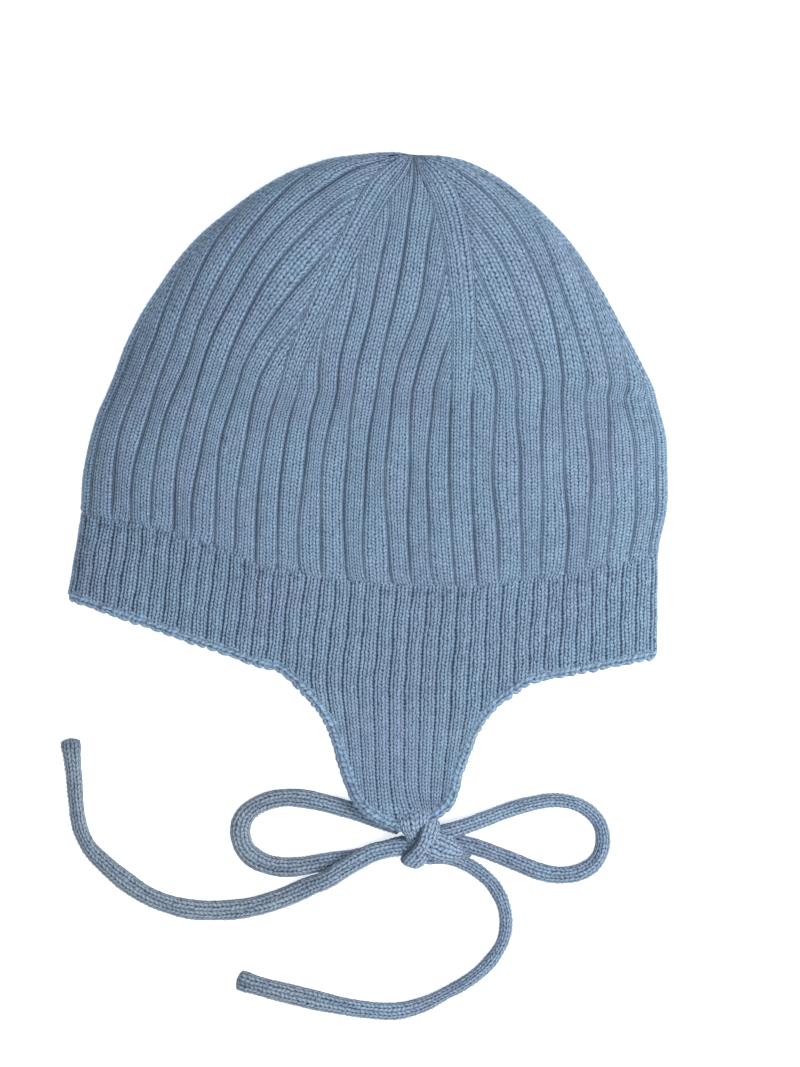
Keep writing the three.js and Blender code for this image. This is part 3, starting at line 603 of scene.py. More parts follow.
@dataclass
class Crown:
    """The crown: six panels of wide ribs, each with a rib that runs on its line of decreases."""

    form: Bonnet
    rib: Rib = Rib(columns=3, groove=0.065, depth=1.3, power=4.5)
    stitch_rows: int = 113
    steps: int = 3  # mesh rows a stitch row
    under_steps: int = 2  # the same on the side that the bonnet lies on
    relief: float = 0.42  # how far a stitch stands up
    inside_rows: int = 26
    inside_columns: int = 36
    inside_ripple: float = 0.35
    rows_under_band: int = 2
    line_groove: float = 0.22  # how deep the grooves stay beside a line of decreases
    line_from: float = 0.42  # the row where the grooves on the line itself grow shallow
    full_pitch: float = 6.2  # how far apart ribs with full grooves stand
    fade: float = 17.0  # millimetres over which a wale's groove grows shallow before the wale ends
    merge: float = 2.6  # millimetres over which the wale then sinks into the line
    hook: float = 0.2  # how far a rib's foot leans sideways, in wales
    hook_height: float = 2.2
    loop: float = 0.22  # how far the lowest stitches stand up
    puff: float = 0.36  # how far a rib swells over the band
    tuck: float = 0.9  # how far the lowest rows dip under the band
    pucker: float = 0.34  # how far the cloth puckers round the top
    tip_depth: float = 0.6  # how far the very tip is drawn in

    def wander(self, wale: np.ndarray, row: np.ndarray) -> np.ndarray:
        """How far the cloth strays from its straight way, in wales.

        Each groove has two slow sines along it, with phases of its own, and the cloth between two grooves
        is moved by its share of both. Just over the band each rib leans by an amount of its own.

        Args:
            wale: places across, in wales.
            row: rows of the same shape.

        Returns:
            Distances in wales.
        """
        low = nearest(wale)

        def stray(groove: np.ndarray) -> np.ndarray:
            """One groove's own sines."""
            number = np.mod(groove, self.form.ribs)
            return 0.075 * wave(1.4 * row + 0.618 * number) + 0.04 * wave(3.7 * row + 0.377 * number + 0.2)

        strays = mix(stray(low), stray(low + 1), wale + 0.5 - low) * np.clip((1 - row) * 6, 0, 1)
        rise = np.maximum(row, 0) * self.form.crown_height
        return strays - self.hook * np.exp(-rise / self.hook_height) * uneven(low * 1.3 + 0.7)

    def ribs(
        self, wale: np.ndarray, row: np.ndarray, away: np.ndarray, left: np.ndarray, whole: np.ndarray
    ) -> tuple[np.ndarray, np.ndarray]:
        """The ribs without their stitches.

        The grooves are shallower where the ribs are narrow, just over the band and beside a line of
        decreases. A wale that ends sinks into the line.

        Args:
            wale: places across, in wales.
            row: rows.
            away: wales from the line of decreases.
            left: millimetres up to where the wale ends.
            whole: whether it runs up to the top.

        Returns:
            Heights in millimetres, and the knit shares.
        """
        form = self.form
        strength = np.clip(form.rib_pitch(row) / self.full_pitch, 0, 1)
        strength = strength * mix(0.5, 1.0, ease(row * form.crown_height / 9.0))
        # Each groove's depth also rises and falls along it, in its own phase
        own = 0.71 * np.mod(np.floor(wale) + 0.5, form.ribs)
        strength = strength * (0.86 + 0.2 * wave(2.3 * row + own))
        on_line = mix(1.0, self.line_groove, ease((row - self.line_from) / 0.06))
        ending = np.where(whole, 0.0, 1 - ease(left / self.fade))
        merged = np.where(whole, 0.0, 1 - ease(left / self.merge))
        share = strength * np.where(away <= 0.5, on_line, mix(1.0, self.line_groove, ending))
        height = mix(self.rib.body(wale) * share, -self.rib.depth * strength * on_line, merged)
        return height, 1 - (1 - self.rib.knit(wale)) * share

    def feet(
        self, wale: np.ndarray, rise: np.ndarray, above: np.ndarray, facing: np.ndarray
    ) -> np.ndarray:
        """The relief just over the band: loose loops, a puff on each rib and the dip under the band.

        Args:
            wale: places across, in wales.
            rise: millimetres over the rim.
            above: the same, moved by each stitch column's own amount.
            facing: how far the cloth faces up or down there, from 0 at a fold to 1.

        Returns:
            Heights in millimetres.
        """
        middle = nearest(wale)
        puff = self.puff * (1 + 0.8 * uneven(middle * 2.7)) * hump(rise, 1.9, 1.7)
        puff = puff * np.clip(1.6 * facing - 0.3, 0, 1) * (1 - (2 * np.abs(wale - middle)) ** 4)
        return self.loop * hump(above, 0.6, 1.1) + puff - self.tuck * (1 - ease((above + 1.6) / 2.6))

    def outside(self, cloth: Cloth, line: int, off: np.ndarray, ends: np.ndarray) -> None:
        """Lays the outer face of some wales: the form with ribs, stitches, soft swells and feet.

        Args:
            cloth: where the patch goes.
            line: the number of the line of decreases. Those past the back fold are below.
            off: the places across, in wales from the line, rising.
            ends: the row at which each place ends.
        """
        form = self.form
        steps = self.steps if line <= form.sections // 2 else self.under_steps
        count = self.stitch_rows * steps
        under = self.rows_under_band * steps
        stop = ends[:, None]
        row = np.minimum(np.arange(-under, count + 1)[None, :] / count, stop)
        last = np.ceil(ends * count - 1e-9).astype(int) + under
        wale = off[:, None] + form.ribs_per_section * line + 0 * row
        away = np.abs(off[:, None])
        left = (stop - row) * form.crown_height
        loose = np.clip(away - 0.5, 0, 1) * np.clip(left / 9.0, 0, 1)
        turn = form.wale_turn(line, off[:, None] + self.wander(wale, row) * loose, row)
        normal = form.outward(turn, row)
        column = self.rib.stitch(wale)
        number = nearest(column)
        rise = row * form.crown_height
        above = rise + 1.6 * uneven(number * 1.3 + 2.0)
        stitch_row = row * self.stitch_rows + uneven(number) * mix(1.1, 0.3, ease(rise / 5.0))
        height, knit = self.ribs(wale, row, away, left, stop >= 0.999)
        height = height + self.relief * knit * (stitch_relief(column, stitch_row) - 0.6)
        # Two slow swells cross each other over the cloth
        height = height + 0.13 * wave(5.3 * row + wale * 7 / form.ribs)
        height = height + 0.11 * wave(2.2 * row - wale * 5 / form.ribs)
        height = height + self.feet(wale, rise, above, np.abs(normal[..., 2]))
        down = form.crown_height - rise
        height = height + self.pucker * wave(turn * 13 + 0.2) * hump(down, 6.0, 4.5)
        height = mix(height, -self.tip_depth, hump(down, 0.0, 1.8))
        # Painted shade: some of the lowest stitches have a dark hole beside them, through a lower knit share
        knit = knit - np.clip(uneven(number * 3.1), 0, 0.55) * hump(above, 0.5, 0.7)
        cloth.lay(form.form(turn, row) + normal * height[..., None], column, stitch_row, knit, last)

    def inside(self, cloth: Cloth, line: int) -> None:
        """Lays the inner face of a panel: the outer form moved in by the wall, with shallow ribs.

        Args:
            cloth: where the patch goes.
            line: the number of the line of decreases.
        """
        form = self.form
        half = form.ribs_per_section / 2
        off = np.linspace(-half, half, self.inside_columns + 1)[:, None]
        row = np.linspace(0, 1, self.inside_rows + 1)[None, :]
        ended = form.ended(row)
        spread = np.abs(off) * (half - ended) / half
        away = np.where(spread <= 0.5, spread, spread + ended)
        turn = form.wale_turn(line, np.sign(off) * away, row)
        depth = form.wall + self.inside_ripple * np.cos(2 * np.pi * off)
        points = form.form(turn, row) - form.outward(turn, row) * depth[..., None]
        column = self.rib.stitch(form.ribs_per_section * line + off + 0.5 + 0 * row)
        cloth.lay(points[::-1], column[::-1], row * self.stitch_rows, 0.4)

    def rim(self, cloth: Cloth, line: int) -> None:
        """Lays the narrow ring under the band between the outer and the inner face.

        Args:
            cloth: where the patch goes.
            line: the number of the line of decreases.
        """
        form = self.form
        half = form.ribs_per_section / 2
        off = np.linspace(-half, half, self.inside_columns + 1)[:, None] + np.zeros((1, 3))
        low = -self.rows_under_band / self.stitch_rows
        row = np.array([[0.0, 0.5 * low, low]]) + 0 * off
        turn = form.wale_turn(line, off, row)
        depth = np.array([[form.wall, 0.7 * form.wall, 1.4]])
        points = form.form(turn, row) - form.outward(turn, row) * depth[..., None]
        cloth.lay(points, self.rib.stitch(form.ribs_per_section * line + off), row * self.stitch_rows, 0.0)

    def build(self) -> list[bpy.types.Object]:
        """Makes the six panels.

        Returns:
            The panels, from the front fold's over the upper side and back under it.
        """
        names = ("crown_front", "crown_upper_left", "crown_upper_right", "crown_back")
        names += ("crown_under_right", "crown_under_left")
        half = self.form.ribs_per_section / 2
        middle = self.rib.across(np.array([0.0]))
        beside = self.rib.across(np.arange(1.0, half + 0.5))[:-1]
        beside = np.r_[beside[beside < half], half]
        ends = mix(self.form.first_decrease, 1.0, (beside - 0.5) / (half - 0.5))
        made = []
        for line, name in enumerate(names):
            cloth = Cloth()
            self.outside(cloth, line, middle, np.ones_like(middle))
            self.outside(cloth, line, beside, ends)
            self.outside(cloth, line, -beside[::-1], ends[::-1])
            self.inside(cloth, line)
            self.rim(cloth, line)
            made.append(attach(cloth.piece(name), "root"))
        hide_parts("crown")
        return made


@dataclass
class Brim:
    """One side's band of narrow ribs, with the ear flap that its ribs run on into."""

    form: Bonnet
    side: Side
    rib: Rib = Rib(columns=2, groove=0.03, depth=0.62, purl=0.0, power=5.0, seam=0.36)
    band_stitch_rows: float = 31.0
    row_pitch: float = 1.18
    steps: int = 3  # mesh rows a stitch row
    relief: float = 0.4  # how far a stitch stands up
    edge_inset: float = 1.5
    lining_height: float = 36.0
    under_crown: float = 2.0  # how far the band runs up under the crown
    tuck: float = 1.1  # how far it dips there
    blend_over: float = 5.0  # the drop over which the flap takes over from the band
    flat_over: float = 16.0  # the drop over which its ribs are drawn flatter
    flatness: float = 0.75
    stretched: float = 0.3

    def wales(self) -> np.ndarray:
        """The mesh's places across this side in narrow ribs from the front fold, groove to groove.

        The upper side runs from the first groove behind the front fold to the last before the back one,
        and the under side has the rest.
        """
        half = self.form.fine_ribs // 2
        first, last = (1, half - 1) if self.side is Side.UPPER else (half, self.form.fine_ribs)
        return self.rib.across(np.arange(first, last + 1.0))

    def wander(self, wale: np.ndarray, row: np.ndarray) -> np.ndarray:
        """How far the band's columns stray from their straight way, in narrow ribs."""
        share = wale / self.form.fine_ribs
        strays = 0.035 * wave(0.9 * row + 11 * share) + 0.025 * wave(2.3 * row - 23 * share)
        return strays * np.clip((1 + row) * 5, 0, 1)

    def height(
        self, wale: np.ndarray, row: np.ndarray, below: np.ndarray
    ) -> tuple[np.ndarray, np.ndarray, np.ndarray]:
        """The ribs' and stitches' height over the form. Each column comes out from under the crown by itself.

        Args:
            wale: places across, in narrow ribs.
            row: stitch rows, 0 at the rim and falling.
            below: millimetres below the rim.

        Returns:
            The height, the stitch column and the knit share.
        """
        column = self.rib.stitch(wale)
        number = nearest(column)
        row = row + 0.3 * uneven(number)
        out = below + 1.1 * uneven(number * 1.7 + 3.0)
        # The grooves deepen over the first rows, and each has a depth of its own that varies along it
        groove = np.floor(wale)
        own = 0.88 + 0.3 * uneven(groove * 1.9) + 0.16 * wave(0.06 * row + 0.37 * groove)
        grown = mix(0.35, 1.0, ease(out / 4.0)) * own
        knit = 1 - (1 - self.rib.knit(wale)) * np.clip(grown, 0, 1)
        height = (self.rib.body(wale) - self.rib.lines(wale)) * grown
        height = height + self.relief * knit * (stitch_relief(column, row) - 0.6)
        height = height + 0.08 * wave(wale * 0.187 + row * 0.022 + 0.3)
        # The first stitches stand up as loose loops, and some have painted shade below them, a dark hole
        height = height + (0.28 + 0.3 * uneven(number * 2.3)) * hump(out, 0.9, 0.9)
        knit = knit - np.clip(uneven(number * 3.7 + 1.0), 0, 0.5) * hump(out, 2.3, 0.7)
        return height - self.tuck * (1 - ease((out + 1.7) / 2.5)), column, knit

    def flap_ends(self, x: np.ndarray) -> np.ndarray:
        """The y at which the flap's cloth ends at an x, or the band's edge where there is no flap."""
        line = self.form.flap_line(self.edge_inset)
        first, last = int(np.argmin(line[:, 0])), int(np.argmax(line[:, 0]))
        run = line[first : last + 1]
        rising = np.maximum.accumulate(run[:, 0])
        bottom = np.interp(x, rising + np.arange(len(run)) * 1e-7, run[:, 1])
        edge = self.form.edge_y(x)
        inside = (x > run[0, 0]) & (x < run[-1, 0])
        return np.where(inside, np.minimum(bottom, edge), edge)

    def column_lengths(self, x: np.ndarray, y: np.ndarray, drop: np.ndarray) -> np.ndarray:
        """How far each column runs down the flap before it leaves the outline.

        Args:
            x: each column's place at the band's edge.
            y: the edge there.
            drop: the drops at which it is looked at, from 0.

        Returns:
            Lengths in millimetres, 0 where there is no flap.
        """
        drops = drop[None, :] + 0 * x[:, None]
        room = self.form.flap_room(self.form.flap_column(x[:, None] + 0 * drops, drops), y[:, None] - drops,
                                   self.edge_inset)
        outside = room <= 0
        outside[:, -1] = True
        first = np.argmax(outside, axis=1)
        before = np.maximum(first - 1, 0)
        each = np.arange(len(x))
        inner, outer = room[each, before], room[each, first]
        share = np.clip(inner / np.maximum(inner - outer, 1e-6), 0, 1)
        return np.where(first == 0, 0.0, mix(drop[before], drop[first], share))

    def surface(self, cloth: Cloth) -> None:
        """Lays the outer face: the band's rows, then the flap's, whose columns draw together.

        Args:
            cloth: where the patch goes.
        """
        form = self.form
        wale = self.wales()
        a_turn = form.fine_ribs / 2
        turn = wale / a_turn
        u, _ = form.share_across(turn)
        rows = int(self.band_stitch_rows * self.steps)
        edge_x, edge_y = form.plan(u, -np.ones_like(u))
        top_x, top_y = form.plan(u, np.zeros_like(u))
        reach = np.hypot(edge_x - top_x, edge_y - top_y)
        step = self.row_pitch / self.steps
        count = int(np.ceil(form.flap_length * 1.05 / step))
        length = self.column_lengths(edge_x, edge_y, np.arange(count + 1) * step)
        in_flap = length > 0.3
        length = np.where(in_flap, length, 0.0)
        stop = np.where(in_flap, -1.0, -1.0 + self.edge_inset / reach)
        row = mix(self.under_crown / form.crown_height, stop[:, None], np.arange(rows + 1)[None, :] / rows)
        turns = turn[:, None] + self.wander(wale[:, None], row) / a_turn
        below = np.where(row > 0, -row * form.crown_height, -row * reach[:, None])
        stitch_row = -below / self.row_pitch
        height, column, knit = self.height(wale[:, None] + 0 * row, stitch_row, below)
        normal = form.outward(turns, row)
        band = form.form(turns, row)
        drop = np.minimum(np.arange(1, count + 1)[None, :] * step, length[:, None])
        x = form.flap_column(edge_x[:, None] + 0 * drop, drop)
        point, up = self.flap_face(x, edge_y[:, None] - drop)
        blend = (1 - ease(drop / self.blend_over))[..., None]
        up = unit(up * (1 - blend) + normal[:, -1:, :] * blend)
        flap_below = reach[:, None] + drop
        flap_row = -flap_below / self.row_pitch
        flap_height, flap_column, flap_knit = self.height(wale[:, None] + 0 * drop, flap_row, flap_below)
        flat = ease(drop / self.flat_over)
        flap_height = flap_height * mix(1.0, self.flatness, flat)
        # Less painted shade in the flap's grooves where its ribs are drawn flatter
        flap_knit = flap_knit + self.stretched * flat
        band = band + normal * height[..., None]
        points = np.concatenate([band, point + up * flap_height[..., None]], axis=1)
        last = rows + np.ceil(length / step - 1e-9).astype(int)
        whole_row = np.concatenate([stitch_row, flap_row], axis=1)
        whole_column = np.concatenate([column, flap_column], axis=1)
        whole_knit = np.concatenate([knit, flap_knit], axis=1)
        cloth.lay(points[::-1], whole_column[::-1], whole_row[::-1], whole_knit[::-1], last[::-1])

    def flap_face(self, x: np.ndarray, y: np.ndarray) -> tuple[np.ndarray, np.ndarray]:
        """The outer face of this side's flap in plan places, and its outward direction.

        Args:
            x: places across.
            y: places along, of the same shape.

        Returns:
            Points and unit directions, with a last axis of three.
        """
        reach = 0.6
        top = self.form.flap_top
        slope_x = (top(self.side, x + reach, y) - top(self.side, x - reach, y)) / (2 * reach)
        slope_y = (top(self.side, x, y + reach) - top(self.side, x, y - reach)) / (2 * reach)
        z = top(self.side, x, y)
        up = unit(np.stack([-slope_x, -slope_y, np.ones_like(z)], axis=-1))
        if self.side is Side.UNDER:
            return np.stack([x, y, z - self.form.flap_wall], axis=-1), -up
        return np.stack([x, y, z], axis=-1), up

    def lining_face(self, cloth: Cloth) -> None:
        """Lays the inner face of the band and the flap, a wall's thickness in, with shallow ribs.

        Args:
            cloth: where the patch goes.
        """
        form = self.form
        half = form.fine_ribs / 2
        first, last = (0.5, half) if self.side is Side.UPPER else (half - 0.5, form.fine_ribs + 0.51)
        wale = np.arange(first, last, 0.25)
        turn = wale / half
        u, _ = form.share_across(turn)
        edge_x, edge_y = form.plan(u, -np.ones_like(u))
        length = np.maximum(edge_y - self.flap_ends(edge_x), 0.0)
        row = -np.linspace(0, 1 - self.edge_inset / self.lining_height, 13)[None, :]
        turns = turn[:, None] + 0 * row
        ripple = 0.3 * np.cos(2 * np.pi * wale)[:, None]
        band = form.form(turns, row) - form.outward(turns, row) * (form.wall + ripple + 0 * row)[..., None]
        drop = np.linspace(0, 1, 14)[None, 1:] * length[:, None]
        x = edge_x[:, None] + 0 * drop
        y = edge_y[:, None] - drop
        z = form.flap_top(self.side, x, y) - (form.flap_wall if self.side is Side.UPPER else 0.0)
        points = np.concatenate([band, np.stack([x, y, z], axis=-1)], axis=1)
        column = self.rib.stitch(wale[:, None] + 0.5) + np.zeros(points.shape[:2])
        low_row = -self.band_stitch_rows - drop / self.row_pitch
        rows = np.concatenate([row * self.band_stitch_rows + 0 * turns, low_row], axis=1)
        last = np.where(length > 0.05, points.shape[1] - 1, 12)
        cloth.lay(points, column, rows, 0.4, last)

    def build(self) -> bpy.types.Object:
        """Makes this side's piece and hides the solids that it stands for.

        Returns:
            The piece.
        """
        cloth = Cloth()
        self.surface(cloth)
        self.lining_face(cloth)
        word = self.side.name.lower()
        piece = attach(cloth.piece(f"band_and_flap_{word}"), "root")
        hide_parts(f"ear_flap_{word}", *(["band"] if self.side is Side.UPPER else []))
        return piece


# The ties' routes, as the part has them: x, y and z of the middle in metres, and the width as a share of
# the tie's mean width.
FIRST_TIE_LOOP = (
    (0.0100, -0.1102, 0.0017, 1.05), (0.0054, -0.1087, 0.0017, 1.05), (0.0005, -0.1070, 0.0017, 1.08),
    (-0.0045, -0.1054, 0.0017, 1.08), (-0.0094, -0.1039, 0.0017, 1.08), (-0.0152, -0.1024, 0.0017, 1.08),
    (-0.0210, -0.1012, 0.0017, 1.11), (-0.0266, -0.1008, 0.0017, 1.08), (-0.0322, -0.1016, 0.0017, 1.11),
    (-0.0371, -0.1036, 0.0017, 1.14), (-0.0403, -0.1062, 0.0017, 1.21), (-0.0420, -0.1095, 0.0017, 1.21),
    (-0.0422, -0.1135, 0.0017, 1.21), (-0.0409, -0.1174, 0.0017, 1.21), (-0.0381, -0.1204, 0.0017, 1.24),
    (-0.0341, -0.1225, 0.0017, 1.21), (-0.0289, -0.1237, 0.0017, 1.24), (-0.0229, -0.1235, 0.0017, 1.14),
    (-0.0167, -0.1225, 0.0017, 1.08), (-0.0104, -0.1214, 0.0017, 1.05), (-0.0038, -0.1204, 0.0017, 1.02),
    (0.0014, -0.1189, 0.0017, 1.02), (0.0071, -0.1173, 0.0017, 1.02), (0.0123, -0.1164, 0.0017, 1.02),
)
FIRST_TIE_TAIL = (
    (0.0189, -0.1204, 0.0017, 0.82), (0.0235, -0.1205, 0.0017, 0.82), (0.0281, -0.1212, 0.0017, 0.82),
    (0.0331, -0.1232, 0.0017, 0.84), (0.0370, -0.1258, 0.0017, 0.84), (0.0405, -0.1290, 0.0017, 0.82),
    (0.0432, -0.1332, 0.0017, 0.82), (0.0448, -0.1377, 0.0017, 0.82), (0.0453, -0.1423, 0.0017, 0.81),
    (0.0447, -0.1466, 0.0017, 0.78), (0.0430, -0.1505, 0.0017, 0.78), (0.0400, -0.1548, 0.0017, 0.81),
    (0.0359, -0.1588, 0.0017, 0.81), (0.0308, -0.1624, 0.0017, 0.81), (0.0248, -0.1656, 0.0017, 0.81),
    (0.0189, -0.1686, 0.0017, 0.91), (0.0111, -0.1709, 0.0017, 1.02), (0.0033, -0.1711, 0.0017, 1.05),
    (-0.0085, -0.1695, 0.0017, 1.09), (-0.0201, -0.1669, 0.0017, 1.21), (-0.0316, -0.1641, 0.0017, 1.21),
    (-0.0384, -0.1622, 0.0017, 1.18), (-0.0424, -0.1609, 0.0017, 1.08),
)
SECOND_TIE_LOOP = (
    (0.0182, -0.1138, 0.0053, 0.95), (0.0228, -0.1125, 0.0053, 0.98), (0.0271, -0.1114, 0.0053, 0.98),
    (0.0310, -0.1102, 0.0050, 0.98), (0.0351, -0.1089, 0.0039, 0.97), (0.0400, -0.1072, 0.0024, 0.95),
    (0.0462, -0.1049, 0.0017, 0.91), (0.0538, -0.1028, 0.0017, 0.89), (0.0604, -0.1017, 0.0017, 0.86),
    (0.0664, -0.1023, 0.0017, 0.86), (0.0710, -0.1041, 0.0017, 0.82), (0.0746, -0.1072, 0.0017, 0.82),
    (0.0768, -0.1113, 0.0017, 0.86), (0.0771, -0.1164, 0.0017, 0.89), (0.0757, -0.1205, 0.0017, 0.95),
    (0.0725, -0.1239, 0.0017, 1.05), (0.0673, -0.1260, 0.0017, 1.02), (0.0614, -0.1262, 0.0017, 1.02),
    (0.0555, -0.1249, 0.0017, 1.03), (0.0492, -0.1223, 0.0017, 1.05), (0.0423, -0.1196, 0.0017, 1.02),
    (0.0361, -0.1173, 0.0017, 1.0), (0.0308, -0.1158, 0.0017, 0.95), (0.0252, -0.1146, 0.0017, 0.95),
    (0.0183, -0.1141, 0.0017, 0.95),
)
SECOND_TIE_TAIL = (
    (0.0136, -0.1164, 0.0053, 1.05), (0.0097, -0.1168, 0.0053, 1.05), (0.0051, -0.1176, 0.0053, 1.08),
    (0.0005, -0.1190, 0.0053, 1.11), (-0.0041, -0.1215, 0.0053, 1.14), (-0.0087, -0.1243, 0.0053, 1.14),
    (-0.0135, -0.1274, 0.0047, 1.14), (-0.0189, -0.1296, 0.0031, 1.17), (-0.0262, -0.1330, 0.0017, 1.21),
    (-0.0357, -0.1362, 0.0017, 1.21), (-0.0435, -0.1376, 0.0017, 1.24), (-0.0514, -0.1380, 0.0017, 1.17),
    (-0.0592, -0.1375, 0.0017, 1.21), (-0.0668, -0.1356, 0.0017, 1.14), (-0.0741, -0.1324, 0.0017, 1.14),
    (-0.0805, -0.1280, 0.0017, 1.17), (-0.0867, -0.1228, 0.0017, 1.08), (-0.0920, -0.1172, 0.0017, 0.98),
    (-0.0951, -0.1107, 0.0017, 0.92), (-0.0964, -0.1022, 0.0017, 0.9), (-0.0970, -0.0943, 0.0017, 0.97),
    (-0.0978, -0.0864, 0.0017, 1.1), (-0.0982, -0.0823, 0.0017, 1.05),
)


def swept_rings(
    path: np.ndarray, side: np.ndarray, width: np.ndarray, thick: np.ndarray,
    sides: int, row_length: float, columns: int, relief: float,
) -> dict[str, np.ndarray]:
    """The surface of a flattened knitted tube along a path.

    A ring's point at angle a lies at side x cos(a) x width/2 + up x sin(a) x thick/2, and moves out by the
    stitches' height.

    Args:
        path: the rings' middles, in millimetres.
        side: each ring's sideways direction.
        width: each ring's width.
        thick: each ring's thickness.
        sides: points round a ring.
        row_length: the length of a stitch along the path.
        columns: stitch columns round the tube.
        relief: how far a stitch stands up.

    Returns:
        The points, stitch columns, stitch rows and knit shares, with rings along the second axis.
    """
    way = unit(np.gradient(path, axis=0))
    up = unit(np.cross(way, side))
    side = unit(np.cross(up, way))
    reach = reach_along(path)
    angle = 2 * np.pi * np.arange(sides + 1)[:, None] / sides
    out_side = np.cos(angle)[..., None] * side[None]
    out_up = np.sin(angle)[..., None] * up[None]
    column = (angle / (2 * np.pi) - 0.25) * columns + 0.5 + 0 * reach[None]
    row = reach[None] / row_length + 0 * angle
    height = relief * (stitch_relief(column, row) - 0.4)
    outward = unit(out_side / width[None, :, None] + out_up / thick[None, :, None])
    points = path[None] + out_side * width[None, :, None] / 2 + out_up * thick[None, :, None] / 2
    knit = np.ones_like(row)
    return {"points": points + outward * height[..., None], "column": column, "row": row, "knit": knit}


def close_tube(cloth: Cloth, tube: dict[str, np.ndarray], path: np.ndarray) -> None:
    """Lays a tube with rounded closed ends: the last rings shrink to the path's end points.

    Args:
        cloth: where it goes.
        tube: what swept_rings gave.
        path: the rings' middles.
    """
    points = tube["points"]
    shrink = np.sqrt([0.0, 0.3, 0.62, 0.86])[None, :, None]
    way = unit(np.gradient(path, axis=0))
    end_length = 1.1
    bulge = end_length * (1 - shrink**2)
    first = path[0] + (points[:, :1] - path[0]) * shrink - way[0] * bulge
    last = path[-1] + (points[:, -1:] - path[-1]) * shrink[:, ::-1] + way[-1] * bulge[:, ::-1]
    points = np.concatenate([first, points, last], axis=1)
    rings = shrink.shape[1]
    wider = ((0, 0), (rings, rings))
    column, row, knit = (np.pad(tube[key], wider, mode="edge")[::-1] for key in ("column", "row", "knit"))
    cloth.lay(points[::-1], column, row, knit)


